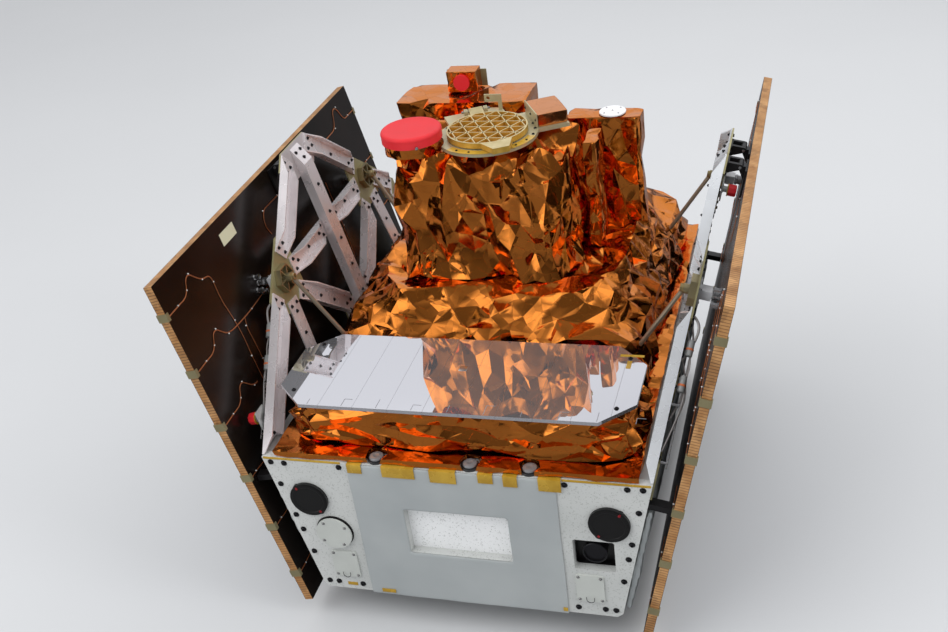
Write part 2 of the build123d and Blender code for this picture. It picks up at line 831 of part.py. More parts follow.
whip_x = deck_half_width - base_levels[-1][1] - whip_inset
side_box_rear = side_box_front + side_box_depth
whip_y = side_box_rear + (rear - base_levels[-1][3] - side_box_rear) * whip_share
with BuildPart() as whip_antenna:
    with BuildSketch(Plane.XY.offset(base_top)) as foot:
        with Locations((whip_x, whip_y)):
            Circle(whip_foot_radius)
    extrude(amount=whip_foot_height)
    with BuildSketch(Plane.XY.offset(base_top)) as rod:
        with Locations((whip_x, whip_y)):
            Circle(whip_radius)
    extrude(amount=whip_height)
write(whip_antenna, "whip_antenna")

# Side frames: nodes and members of each leaning truss
frame_points = {
    "front_foot": (front + frame_end_foot_inset, frame_foot_rise),
    "front_knee_foot": (frame_front_knee - front_strap_spread, frame_foot_rise),
    "front_middle_foot": (frame_peak - middle_foot_spread, frame_foot_rise),
    "middle_foot": (frame_peak, frame_foot_rise),
    "rear_middle_foot": (frame_peak + middle_foot_spread, frame_foot_rise),
    "rear_knee_foot": (frame_rear_knee + rear_strap_spread, frame_foot_rise),
    "rear_foot": (rear - frame_end_foot_inset, frame_foot_rise),
    "rear_corner": (rear - frame_end_foot_inset, frame_corner_rise),
    "front_knee": (frame_front_knee, frame_knee_rise),
    "front_knee_top": (frame_front_knee, frame_knee_rise + diagonal_shift),
    "front_knee_low": (frame_front_knee, frame_knee_rise - diagonal_shift),
    "centre": (frame_peak, frame_knee_rise),
    "rear_knee": (frame_rear_knee, frame_knee_rise),
    "rear_knee_top": (frame_rear_knee, frame_knee_rise + diagonal_shift),
    "rear_knee_low": (frame_rear_knee, frame_knee_rise - diagonal_shift),
    "peak": (frame_peak, frame_peak_rise),
}
frame_members = (
    # from, to, setback at the start, setback at the end, form
    ("front_foot", "front_knee_top", -foot_overrun, lower_setback, "channel"),
    ("front_middle_foot", "front_knee_low", middle_foot_setback, brace_setback, "channel"),
    ("rear_middle_foot", "rear_knee_low", middle_foot_setback, brace_setback, "channel"),
    ("rear_corner", "rear_knee_top", corner_setback, lower_setback, "channel"),
    ("front_knee", "centre", tie_setback, centre_setback, "channel"),
    ("rear_knee", "centre", tie_setback, centre_setback, "channel"),
    ("front_knee_top", "peak", upper_setback, peak_setback, "channel"),
    ("rear_knee_top", "peak", upper_setback, peak_setback, "channel"),
    ("front_knee_foot", "front_knee", -member_plate, strap_setback, "strap"),
    ("rear_knee_foot", "rear_knee", -member_plate, strap_setback, "strap"),
    ("rear_foot", "rear_corner", 0.0, corner_setback, "strap"),
    ("middle_foot", "peak", 0.0, post_setback, "post"),
)
gussets = (
    # node, its plate's corners along the body towards the middle foot, and up the slope from the node
    ("front_foot", ((-24, -52), (-24, 0), (0, 22), (44, 22), (44, -52))),
    ("rear_foot", ((-32, -52), (-32, 22), (32, 22), (32, -52))),
    ("rear_corner", ((-23, -60), (-23, 20), (5, 40), (60, 40), (60, 0), (23, -30), (23, -60))),
    ("front_knee_foot", ((-32, -52), (-32, 22), (32, 22), (32, -52))),
    ("rear_knee_foot", ((-32, -52), (-32, 22), (32, 22), (32, -52))),
    ("middle_foot", ((-80, -52), (-80, 20), (-60, 40), (60, 40), (80, 20), (80, -52))),
    ("front_knee", ((-82, -16), (41, 84), (66, 84), (78, 60), (78, -52), (60, -72), (-30, -78), (-76, -50))),
    ("rear_knee", ((-82, -16), (41, 84), (66, 84), (78, 60), (78, -52), (60, -72), (-30, -78), (-76, -50))),
    ("peak", ((-66, -23), (-103, -55), (-66, -102), (66, -102), (103, -55), (66, -23))),
)
for name, side in sides:
    slope = side_plane(side)
    with BuildPart() as frame:
        for start, end, start_gap, end_gap, form in frame_members:
            (y0, u0), (y1, u1) = frame_points[start], frame_points[end]
            length = hypot(y1 - y0, u1 - u0)
            along = Vector(side * (y1 - y0), u1 - u0, 0).normalized()
            origin = slope.from_local_coords(Vector(side * y0, u0, 0) + along * start_gap)
            run = length - start_gap - end_gap
            x_dir = slope.from_local_coords(along) - slope.origin
            member = Plane(origin=origin, x_dir=x_dir, z_dir=slope.z_dir)
            low_edge = member.from_local_coords(Vector(0, -member_width / 2, 0))
            with BuildSketch(Plane(origin=low_edge, x_dir=x_dir, z_dir=-member.y_dir)) as web:
                if form == "post":
                    Polygon(
                        (0, 0),
                        (run, 0),
                        (run - post_taper, -member_depth),
                        (post_taper, -member_depth),
                        align=None,
                    )
                    Polygon(
                        (member_plate, 0),
                        (run - member_plate, 0),
                        (run - post_taper - member_plate, member_plate - member_depth),
                        (post_taper + member_plate, member_plate - member_depth),
                        align=None,
                        mode=Mode.SUBTRACT,
                    )
                else:
                    Polygon((0, 0), (run, 0), (run, -member_plate), (0, -member_plate), align=None)
            extrude(amount=-member_width)
            taper = {"channel": member_taper, "post": post_taper}.get(form)
            for edge in (-member_width / 2, member_width / 2 - member_plate) if taper else ():
                flange_origin = member.from_local_coords(Vector(0, edge, 0))
                with BuildSketch(Plane(origin=flange_origin, x_dir=x_dir, z_dir=-member.y_dir)) as flange:
                    Polygon(
                        (0, 0),
                        (run, 0),
                        (run - taper, -member_depth),
                        (taper, -member_depth),
                        align=None,
                    )
                extrude(amount=-member_plate)
        deck_edge = Plane(origin=side_point(side, 0, frame_foot_rise, 0), z_dir=slope.y_dir)
        split(bisect_by=deck_edge, keep=Keep.TOP)
    write(frame, f"{name}_frame")

    with BuildPart() as plates:
        for point, corners in gussets:
            y, u = frame_points[point]
            inwards = -1 if y > frame_peak else 1
            with BuildSketch(side_plane(side, seat)) as plate:
                Polygon(*[(side * (y + inwards * run), u + rise) for run, rise in corners], align=None)
            extrude(amount=gusset_thickness)
    write(plates, f"{name}_gussets")

# Gold fittings at the knees, and the struts that run from them into the instrument base
with BuildPart() as knee_fittings:
    for name, side in sides:
        for along in (frame_front_knee, frame_rear_knee):
            with BuildSketch(side_plane(side, 0)) as plate:
                with Locations((side * along, frame_knee_rise)):
                    RegularPolygon(fitting_radius, 6)
            extrude(amount=-fitting_block)
            with BuildSketch(side_plane(side, -fitting_block)) as pockets:
                with Locations((side * along, frame_knee_rise)):
                    RegularPolygon(fitting_radius - fitting_rib, 6)
                    for heading in (0, 60, 120):
                        with Locations(Location((0, 0), heading)):
                            Rectangle(2 * fitting_radius, fitting_rib, mode=Mode.SUBTRACT)
            extrude(amount=fitting_block - fitting_plate, mode=Mode.SUBTRACT)
            with BuildSketch(side_plane(side, -fitting_plate)) as boss:
                with Locations((side * along, frame_knee_rise)):
                    Circle(fitting_boss_radius)
            extrude(amount=fitting_plate + seat - fitting_height)
write(knee_fittings, "knee_fittings")

with BuildPart() as struts:
    for head, tip in strut_ends:
        with BuildSketch(Plane(origin=tip, z_dir=head - tip)) as rod:
            Circle(strut_radius)
        extrude(amount=(head - tip).length)
    for name, side in sides:
        split(bisect_by=side_plane(side, -fitting_height), keep=Keep.BOTTOM)
write(struts, "instrument_struts")

# Hold-down blocks outside the knees, which carry the stowed wings
hold_outer = wing_gap - hold_cup_length - hold_gap
with BuildPart() as hold_downs:
    for name, side in sides:
        for along in (frame_front_knee, frame_rear_knee):
            with BuildSketch(side_plane(side, gusset_outer)) as flange:
                with Locations((side * along, frame_knee_rise)):
                    Rectangle(hold_block_flange_width, hold_block_flange_width)
            extrude(amount=hold_block_flange)
            with BuildSketch(side_plane(side, gusset_outer)) as block:
                with Locations((side * along, frame_knee_rise)):
                    Rectangle(hold_block_width, hold_block_height)
            extrude(amount=hold_outer - gusset_outer)
write(hold_downs, "hold_down_blocks")

# Snubbers from the body's sides to the wings' lower half
with BuildPart() as snubbers:
    for name, side in sides:
        for along in (front + snubber_inset, rear - snubber_inset):
            with BuildSketch(side_plane(side, seat)) as block:
                with Locations((side * along, snubber_rise)):
                    Rectangle(snubber_width, snubber_height)
            extrude(amount=wing_gap - snubber_gap - seat)
write(snubbers, "wing_snubbers")

# Grey blankets on the body's sides, below the frames' feet
blanket_bottom = -body_height / cos(lean) + side_blanket_margin
with BuildPart() as side_blankets:
    for name, side in sides:
        with BuildSketch(side_plane(side, seat)) as outline:
            with Locations((0, (blanket_bottom + side_blanket_rise) / 2)):
                Rectangle(body_depth - 2 * side_blanket_margin, side_blanket_rise - blanket_bottom)
            with Locations(*[
                (side * along, snubber_rise) for along in (front + snubber_inset, rear - snubber_inset)
            ]):
                Rectangle(
                    snubber_width + 2 * snubber_clearance_along,
                    snubber_height + 2 * snubber_clearance_up,
                    mode=Mode.SUBTRACT,
                )
        extrude(amount=side_blanket_thickness)
write(side_blankets, "side_blankets")

# Wing hinges: fixed brackets on the frames' peaks, moving brackets on the wings, and pins
pin_rise = wing_top_rise - hinge_below_top
pin_out = wing_gap - wing_hinge_standoff
hinge_places = [frame_peak - wing_hinge_spread / 2, frame_peak + wing_hinge_spread / 2]


def across_plane(side, along):
    """A plane across the body at a place along it: x outwards, y up the slope."""
    base = side_plane(side)
    return Plane(
        origin=base.from_local_coords(Vector(side * along, 0, 0)),
        x_dir=base.z_dir,
        z_dir=base.x_dir * -1,
    )


for name, side in sides:
    with BuildPart() as fixed_hinge:
        for along in hinge_places:
            with BuildSketch(side_plane(side, gusset_outer)) as plate:
                with Locations((side * along, pin_rise - wing_lug_radius)):
                    Rectangle(wing_bracket_foot, 4 * wing_lug_radius)
            extrude(amount=wing_bracket_plate)
            for ear in (-1, 1):
                middle = ear * (wing_knuckle_half_length + wing_knuckle_gap + wing_lug_thickness / 2)
                with BuildSketch(across_plane(side, along + middle).offset(-wing_lug_thickness / 2)) as lug:
                    with Locations((pin_out, pin_rise)):
                        Circle(wing_lug_radius)
                    Polygon(
                        (gusset_outer, pin_rise + wing_lug_radius),
                        (pin_out, pin_rise + wing_lug_radius),
                        (pin_out, pin_rise - wing_lug_radius),
                        (gusset_outer, pin_rise - 3 * wing_lug_radius),
                        align=None,
                    )
                    with Locations((pin_out, pin_rise)):
                        Circle(wing_pin_radius, mode=Mode.SUBTRACT)
                extrude(amount=wing_lug_thickness)
    write(fixed_hinge, f"{name}_frame_hinge")

    pin_half = wing_knuckle_half_length + wing_knuckle_gap + wing_lug_thickness + wing_pin_overhang
    with BuildPart() as pins:
        for along in hinge_places:
            with BuildSketch(across_plane(side, along).offset(-pin_half)) as rod:
                with Locations((pin_out, pin_rise)):
                    Circle(wing_pin_radius)
            extrude(amount=2 * pin_half)
    write(pins, f"{name}_hinge_pins")

    with BuildPart() as moving_hinge:
        for along in hinge_places:
            with BuildSketch(side_plane(side, wing_gap - wing_bracket_plate)) as plate:
                with Locations((side * along, pin_rise)):
                    Rectangle(wing_bracket_width, wing_bracket_length, align=(Align.CENTER, Align.MAX))
            extrude(amount=wing_bracket_plate - seat)
            with BuildSketch(across_plane(side, along).offset(-wing_knuckle_half_length)) as knuckle:
                with Locations((pin_out, pin_rise)):
                    Circle(wing_lug_radius)
                Polygon(
                    (pin_out - wing_lug_radius * cos(lean), pin_rise - wing_lug_radius * sin(lean)),
                    (pin_out + wing_lug_radius / 2, pin_rise),
                    (wing_gap - wing_bracket_plate, pin_rise),
                    (wing_gap - wing_bracket_plate, pin_rise - 5 * wing_lug_radius),
                    align=None,
                )
                with Locations((pin_out, pin_rise)):
                    Circle(wing_pin_radius + wing_pin_clearance, mode=Mode.SUBTRACT)
            extrude(amount=2 * wing_knuckle_half_length)
    write(moving_hinge, f"{name}_wing_hinge")

    with BuildPart() as wing:
        with BuildSketch(side_plane(side, wing_gap)) as outline:
            with Locations((0, wing_top_rise)):
                Rectangle(wing_depth, wing_length, align=(Align.CENTER, Align.MAX))
        extrude(amount=wing_thickness)
    write(wing, f"{name}_wing_panel")

    with BuildPart() as cups:
        with BuildSketch(side_plane(side, wing_gap - hold_cup_length)) as outline:
            with Locations(*[
                (side * along, frame_knee_rise) for along in (frame_front_knee, frame_rear_knee)
            ]):
                Circle(hold_cup_radius)
        extrude(amount=hold_cup_length - seat)
    write(cups, f"{name}_wing_cups")

    # Edge clips: a channel section gripping the panel's front and rear edges
    clip_outer = wing_thickness + 2 * (clip_plate + clip_seat)
    with BuildPart() as clips:
        for place in range(clip_count):
            rise = wing_top_rise - clip_first - place * clip_pitch
            for end in (-1, 1):
                edge = end * wing_depth / 2
                grip = clip_grip + clip_seat + clip_plate
                with BuildSketch(side_plane(side, wing_gap - clip_seat - clip_plate)) as block:
                    with Locations((side * (edge + end * (clip_seat + clip_plate - grip / 2)), rise)):
                        Rectangle(grip, clip_length)
                extrude(amount=clip_outer)
        with BuildSketch(side_plane(side, wing_gap - clip_seat)) as slot:
            with Locations((0, wing_top_rise)):
                Rectangle(wing_depth + 2 * clip_seat, wing_length, align=(Align.CENTER, Align.MAX))
        extrude(amount=wing_thickness + 2 * clip_seat, mode=Mode.SUBTRACT)
    write(clips, f"{name}_wing_clips")
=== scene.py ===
import json
from contextlib import contextmanager
from math import cos, pi, radians, sin

import bpy
from bpy.props import FloatProperty, FloatVectorProperty, PointerProperty
from mathutils import Matrix, Vector
from mathutils.bvhtree import BVHTree


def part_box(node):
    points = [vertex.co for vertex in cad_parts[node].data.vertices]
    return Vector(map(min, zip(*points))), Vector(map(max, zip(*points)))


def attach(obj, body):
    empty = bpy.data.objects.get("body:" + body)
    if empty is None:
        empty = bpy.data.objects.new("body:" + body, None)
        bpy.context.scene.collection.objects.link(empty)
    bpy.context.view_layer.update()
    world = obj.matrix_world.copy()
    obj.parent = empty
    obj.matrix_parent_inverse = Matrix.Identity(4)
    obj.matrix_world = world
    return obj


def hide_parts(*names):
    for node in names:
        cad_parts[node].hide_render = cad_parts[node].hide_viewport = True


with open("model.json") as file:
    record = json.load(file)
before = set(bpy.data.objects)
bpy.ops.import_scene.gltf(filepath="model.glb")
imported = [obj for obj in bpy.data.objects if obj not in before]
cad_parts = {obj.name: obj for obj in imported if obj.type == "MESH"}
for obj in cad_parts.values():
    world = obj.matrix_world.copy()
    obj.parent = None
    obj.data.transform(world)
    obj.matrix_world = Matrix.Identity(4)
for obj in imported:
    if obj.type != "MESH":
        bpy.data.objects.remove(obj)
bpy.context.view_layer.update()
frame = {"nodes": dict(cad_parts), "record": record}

bl_info = {
    "name": "Small science satellite",
    "version": (1, 0, 0),
    "blender": (4, 5, 0),
    "location": "View3D > Sidebar > Satellite",
    "description": "Foil wraps, finishes and fittings for the satellite's packed parts",
    "category": "Add Mesh",
}

front_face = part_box("front_wall")[0].y
rear_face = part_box("rear_wall")[1].y
deck_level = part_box("front_wall")[1].z
deck_half_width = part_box("front_wall")[1].x
side_lean = radians(12.3)
wing_gap = 0.049
wing_thickness = 0.020
wing_length = 0.8463
wing_top_rise = 0.4408
knee_rise = 0.2405
front_knee, rear_knee = -0.186, 0.366
tile_pitch = 0.0762
sides = (("left", -1), ("right", 1))


def metres(values):
    """Millimetres as metres, one value or a table of them."""
    return tuple(metres(value) for value in values) if isinstance(values, (tuple, list)) else values / 1000


# Places on the leaning sides
def side_axes(side):
    """The directions outwards and up the slope of a leaning side."""
    outward = Vector((side * cos(side_lean), 0, -sin(side_lean)))
    upward = Vector((side * sin(side_lean), 0, cos(side_lean)))
    return outward, upward


def side_point(side, along, rise, out):
    """A point of a leaning side: place along the body, up the slope from the deck's edge, and outwards."""
    outward, upward = side_axes(side)
    return Vector((side * deck_half_width, along, deck_level)) + outward * out + upward * rise


def side_matrix(side, along, rise, out, flip=False):
    """Stands a piece on a leaning side with its z outwards, or inwards if flipped."""
    outward, upward = side_axes(side)
    turn = Matrix((Vector((0, side, 0)), upward, outward)).transposed().to_4x4()
    if flip:
        turn = turn @ Matrix.Rotation(pi, 4, "X")
    return Matrix.Translation(side_point(side, along, rise, out)) @ turn


# Bench work: taking a piece in hand, modifiers, and setting a finished piece down
def take(piece):
    """Select one piece alone and make it active."""
    bpy.ops.object.select_all(action="DESELECT")
    piece.select_set(True)
    bpy.context.view_layer.objects.active = piece
    return piece


@contextmanager
def editing(select="SELECT"):
    """Edit mode on the active piece, with all of it selected or none, and back."""
    bpy.ops.object.mode_set(mode="EDIT")
    bpy.ops.mesh.select_all(action=select)
    yield
    bpy.ops.object.mode_set(mode="OBJECT")


def made(name):
    """Name the object that an operator has just added."""
    piece = bpy.context.view_layer.objects.active
    piece.name = name
    piece.data.name = name
    return piece


def copy_of(node, name):
    """A copy of a CAD node's mesh with its loose triangles merged, as a new piece."""
    piece = bpy.data.objects.new(name, frame["nodes"][node].data.copy())
    bpy.context.scene.collection.objects.link(piece)
    piece.data.materials.clear()
    take(piece)
    with editing():
        bpy.ops.mesh.remove_doubles(threshold=0.00005)
    return piece


def modify(piece, kind, **settings):
    """Add a modifier, set it and apply it."""
    take(piece)
    modifier = piece.modifiers.new(kind.title(), kind)
    for name, value in settings.items():
        setattr(modifier, name, value)
    bpy.ops.object.modifier_apply(modifier=modifier.name)


def join(pieces, name):
    """Join several pieces into one whose place is in its mesh."""
    bpy.ops.object.select_all(action="DESELECT")
    for piece in pieces:
        piece.select_set(True)
    bpy.context.view_layer.objects.active = pieces[0]
    if len(pieces) > 1:
        bpy.ops.object.join()
    bpy.ops.object.transform_apply(location=True, rotation=True, scale=True)
    return made(name)


def aim(point, direction, turn=0.0):
    """The matrix that stands a piece at a point with its own z along a direction."""
    along = Vector(direction).to_track_quat("Z", "Y").to_matrix().to_4x4()
    return Matrix.Translation(point) @ along @ Matrix.Rotation(turn, 4, "Z")


def copies(model, matrices, name):
    """Copies of a model, each with its own mesh, joined as one piece."""
    placed = []
    for matrix in matrices:
        copy = model.copy()
        copy.data = model.data.copy()
        bpy.context.scene.collection.objects.link(copy)
        copy.matrix_world = matrix
        placed.append(copy)
    bpy.data.objects.remove(model)
    return join(placed, name)


def round_about(radius, turns):
    """Offsets round a circle, at each of the turns."""
    return [(radius * cos(turn), radius * sin(turn)) for turn in turns]


def even_turns(count, first=0.0):
    """Turns that share a circle evenly."""
    return [first + 2 * pi * step / count for step in range(count)]


def block(name, low, high, soft=0.0008):
    """A box between two corners with its edges eased."""
    low, high = Vector(low), Vector(high)
    bpy.ops.object.select_all(action="DESELECT")
    bpy.ops.mesh.primitive_cube_add(size=1, location=(low + high) / 2)
    piece = made(name)
    piece.scale = high - low
    bpy.ops.object.transform_apply(location=True, rotation=True, scale=True)
    if soft:
        with editing():
            bpy.ops.mesh.bevel(offset=soft, segments=2)
    return piece


def turned(name, profile, count=24, unit=0.001):
    """A turned piece about its own z: radius and height from foot to top, by default in millimetres."""
    profile = [(radius * unit, height * unit) for radius, height in profile]
    bpy.ops.object.select_all(action="DESELECT")
    bpy.ops.mesh.primitive_circle_add(vertices=count, radius=profile[0][0], fill_type="NGON")
    piece = made(name)
    with editing():
        bpy.ops.transform.translate(value=(0, 0, profile[0][1]))
        for (radius, height), (last_radius, last_height) in zip(profile[1:], profile):
            bpy.ops.mesh.extrude_region_move(TRANSFORM_OT_translate={"value": (0, 0, height - last_height)})
            ratio = radius / last_radius
            bpy.ops.transform.resize(value=(ratio, ratio, 1), center_override=(0, 0, height))
        bpy.ops.mesh.select_all(action="SELECT")
        bpy.ops.mesh.normals_make_consistent(inside=False)
    return piece


def cap_screw(radius):
    """A socket screw's head on a washer, standing on z = 0."""
    profile = ((1.45, 0), (1.45, 0.15), (1, 0.16), (1, 0.75), (0.85, 0.9), (0.5, 0.9), (0.45, 0.45))
    return turned("screw", profile, 12, radius)


def hex_nut(radius):
    """A hexagon nut on a washer with a bolt's end, standing on z = 0."""
    shapes = (
        ("washer", ((1.4, 0), (1.4, 0.18)), 14),
        ("body", ((1, 0.15), (1, 0.85), (0.85, 0.95)), 6),
        ("end", ((0.5, 0.5), (0.5, 1.3), (0.4, 1.4)), 10),
    )
    return join([turned(name, profile, count, radius) for name, profile, count in shapes], "nut")


def wire(name, points, radius, sides=3, smooth=True):
    """A thin round wire through a short list of points."""
    curve = bpy.data.curves.new(name, "CURVE")
    curve.dimensions = "3D"
    curve.bevel_depth = radius
    curve.bevel_resolution = sides
    curve.resolution_u = 6
    curve.use_fill_caps = True
    spline = curve.splines.new("NURBS" if smooth else "POLY")
    spline.points.add(len(points) - 1)
    for knot, point in zip(spline.points, points):
        knot.co = (*point, 1)
    if smooth:
        spline.order_u = 3
        spline.use_endpoint_u = True
    piece = bpy.data.objects.new(name, curve)
    bpy.context.scene.collection.objects.link(piece)
    take(piece)
    bpy.ops.object.convert(target="MESH")
    return made(name)


def set_down(piece, body, look, angle=30, replaces=()):
    """Apply a piece's place, shade it, give it its body, slot and finish, and hide the nodes it stands for.
    """
    take(piece)
    bpy.ops.object.transform_apply(location=True, rotation=True, scale=True)
    if angle is not None:
        bpy.ops.object.shade_smooth_by_angle(angle=radians(angle))
    piece.data.materials.clear()
    piece.data.materials.append(finish(look))
    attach(piece, body)
    if replaces:
        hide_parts(*replaces)
    return piece


def fasten(model, places, name, look, body="bus", angle=30):
    """Set down copies of a model, one at each place that isn't None, as one piece."""
    return set_down(copies(model, [place for place in places if place], name), body, look, angle)


# Shader work: sockets with arithmetic, and a material under construction
def sums(operation, swapped=False):
    """A method that adds one Math node for a socket and another value."""

    def method(self, other=None):
        values = (other, self) if swapped else (self, other)
        return self.maker.node("ShaderNodeMath", {"operation": operation}, *values)

    return method


class Wire:
    """A socket of a material's nodes; sums on it add Math nodes."""

    def __init__(self, maker, socket):
        self.maker = maker
        self.socket = socket

    __add__, __radd__ = sums("ADD"), sums("ADD", True)
    __sub__, __rsub__ = sums("SUBTRACT"), sums("SUBTRACT", True)
    __mul__, __rmul__ = sums("MULTIPLY"), sums("MULTIPLY", True)
    __truediv__, __mod__ = sums("DIVIDE"), sums("FLOORED_MODULO")
    __gt__, __lt__ = sums("GREATER_THAN"), sums("LESS_THAN")
    __abs__ = sums("ABSOLUTE")


class Finish:
    """A material under construction."""

    def __init__(self, name):
        self.material = bpy.data.materials.new(name)
        self.material.use_nodes = True
        self.tree = self.material.node_tree
        self.tree.nodes.clear()
        self.spot = None

    def node(self, kind, settings=None, *values, out=0, **named):
        """Add a node: its settings first, then its sockets in order or by name."""
        made_node = self.tree.nodes.new(kind)
        for name, value in (settings or {}).items():
            if name == "stops":
                ramp = made_node.color_ramp
                for place, colour in value[:-1]:
                    ramp.elements.new(place).color = (*colour, 1)
                ramp.elements.remove(ramp.elements[0])
                ramp.elements[-1].position = value[-1][0]
                ramp.elements[-1].color = (*value[-1][1], 1)
            else:
                setattr(made_node, name, value)
        inputs = [socket for socket in made_node.inputs if socket.enabled]
        chosen = list(zip(inputs, values))
        for name, value in named.items():
            label = name.replace("_", " ")
            chosen.append((next(socket for socket in inputs if socket.name == label), value))
        for socket, value in chosen:
            if isinstance(value, Wire):
                self.tree.links.new(value.socket, socket)
            elif value is not None:
                if socket.type == "RGBA" and len(value) == 3:
                    value = (*value, 1)
                socket.default_value = value
        results = [socket for socket in made_node.outputs if socket.enabled]
        return Wire(self, results[out]) if results else None

    def place(self):
        """The point on the piece, in metres."""
        if self.spot is None:
            self.spot = self.node("ShaderNodeTexCoord", out=3)
        return self.spot

    def vector(self, operation, *values):
        """Vector Math on vectors, sockets or constants."""
        return self.node("ShaderNodeVectorMath", {"operation": operation}, *values)

    def axis(self, direction):
        """How far along a direction the point is."""
        return self.vector("DOT_PRODUCT", self.place(), direction)

    def stretched(self, x, y, z):
        """The point with each axis scaled, for patterns that run one way."""
        return self.vector("MULTIPLY", self.place(), (x, y, z))

    def noise(self, scale, detail=2.0, roughness=0.5, at=None):
        return self.node(
            "ShaderNodeTexNoise", None, Vector=at or self.place(), Scale=scale, Detail=detail,
            Roughness=roughness,
        )

    def cells(self, scale, feature="F1", at=None):
        return self.node(
            "ShaderNodeTexVoronoi", {"feature": feature}, Vector=at or self.place(), Scale=scale
        )

    def ramp(self, value, *stops):
        return self.node("ShaderNodeValToRGB", {"stops": stops}, value)

    def between(self, value, low, high):
        """One colour to the other over the middle of a noise."""
        return self.ramp(value, (0.3, low), (0.7, high))

    def mix(self, mask, low, high):
        """One colour or the other, by a mask."""
        return self.node("ShaderNodeMix", {"data_type": "RGBA"}, mask, low, high)

    def bump(self, height, strength, distance, normal=None):
        return self.node(
            "ShaderNodeBump", None, Strength=strength, Distance=distance, Height=height, Normal=normal
        )

    def shade(self, **sockets):
        """Finish with one Principled shader and hand over the material."""
        shader = self.node("ShaderNodeBsdfPrincipled", None, **sockets)
        self.node("ShaderNodeOutputMaterial", None, shader)
        return self.material


finishes = {}


def finish(name):
    """The material of that name, made the first time it is asked for."""
    if name not in finishes:
        finishes[name] = recipes[name](Finish(name))
    return finishes[name]


def facets(maker, scale, at):
    """Height of small flat facets: each cell of a random pattern tilts its own way."""
    pattern = {"Vector": at, "Scale": scale}
    tilt = maker.node("ShaderNodeTexVoronoi", None, out=1, **pattern)
    centre = maker.node("ShaderNodeTexVoronoi", None, out=2, **pattern)
    lean = maker.vector("SUBTRACT", tilt, (0.5, 0.5, 0.5))
    reach = maker.vector("SUBTRACT", at, centre)
    return maker.vector("DOT_PRODUCT", lean, reach)


def foil(maker, colour, roughness, tilt=1.0):
    """Metal-coated film: mirror-like, with flat facets in two sizes between the folds, a little hazy."""
    haze = maker.noise(9, 3)
    drift = maker.vector(
        "MULTIPLY_ADD",
        maker.node("ShaderNodeTexNoise", None, Vector=maker.place(), Scale=11, Detail=1, out=1),
        (0.014, 0.014, 0.014),
        maker.place(),
    )
    height = (facets(maker, 11, drift) * 0.13 + facets(maker, 34, drift) * 0.12) * tilt
    return maker.shade(
        Base_Color=maker.between(haze, [c * 0.9 for c in colour], colour),
        Metallic=1.0,
        Roughness=haze * 0.1 + roughness,
        Normal=maker.bump(height, 1.0, 1.0),
    )


def amber_foil(maker):
    return foil(maker, bpy.context.scene.satellite_foil.colour, 0.05)


def pink_foil(maker):
    return foil(maker, (0.92, 0.36, 0.13), 0.12, 0.3)


def mirror_tiles(maker):
    """Silvered tiles with thin seams, each a hair out of level."""
    across = abs((maker.axis((1, 0, 0)) + 0.5) % tile_pitch - tile_pitch / 2)
    seam = across > 0.0378
    wave = maker.noise(4, 1)
    return maker.shade(
        Base_Color=maker.mix(seam, (0.84, 0.84, 0.88), (0.3, 0.31, 0.33)),
        Metallic=0.91,
        Roughness=seam * 0.3 + 0.015,
        Normal=maker.bump(wave, 0.12, 0.002),
    )


def plain(colour, metallic=0.0, roughness=0.4, grain=400, depth=0.1, mottle=0.12, coat=0.0):
    """A recipe for a painted, moulded or machined surface with a slight mottle and grain."""

    def recipe(maker):
        patches = maker.noise(14, 3)
        fine = maker.noise(grain, 2)
        return maker.shade(
            Base_Color=maker.between(patches, [c * (1 - mottle) for c in colour], colour),
            Metallic=metallic,
            Roughness=patches * 0.12 + (roughness - 0.06),
            Normal=maker.bump(fine, depth, 0.0006),
            Coat_Weight=coat,
        )

    return recipe


def speckled(pale, dark, fleck_share):
    """A recipe for white paint over a woven skin: fine grey speckles and faint smudges."""

    def recipe(maker):
        smudge = maker.noise(6, 4)
        fleck = maker.cells(430)
        crumb = maker.noise(260, 2)
        flecks = (crumb > 0.6) * (fleck < 0.55)
        return maker.shade(
            Base_Color=maker.mix(
                flecks * fleck_share, maker.between(smudge, dark, pale), (0.25, 0.26, 0.24)
            ),
            Roughness=0.45,
            Normal=maker.bump(crumb, 0.15, 0.0005),
        )

    return recipe


def grey_cloth(maker):
    """Coated glass cloth: a fine close weave with soft dents."""
    soft = maker.noise(7, 3)
    place = maker.place()
    weave = maker.node("ShaderNodeTexWave", {"bands_direction": "X"}, Vector=place, Scale=160.0)
    weft = maker.node("ShaderNodeTexWave", {"bands_direction": "Z"}, Vector=place, Scale=160.0)
    return maker.shade(
        Base_Color=maker.between(soft, (0.33, 0.355, 0.36), (0.385, 0.41, 0.41)),
        Roughness=soft * 0.1 + 0.45,
        Normal=maker.bump(weave * weft * 0.04 + soft, 0.25, 0.006),
    )


def truss_paint(colour):
    """A recipe for pale paint on channel members, a little worn, with drawn metal under it."""

    def recipe(maker):
        worn = maker.noise(22, 4)
        drawn = maker.noise(60, 2, at=maker.stretched(1, 0.2, 1))
        tired, middling = [c * 0.88 for c in colour], [c * 0.95 for c in colour]
        return maker.shade(
            Base_Color=maker.ramp(worn, (0.25, tired), (0.45, middling), (0.8, colour)),
            Metallic=0.42,
            Roughness=worn * 0.12 + 0.22,
            Normal=maker.bump(drawn, 0.12, 0.001),
        )

    return recipe


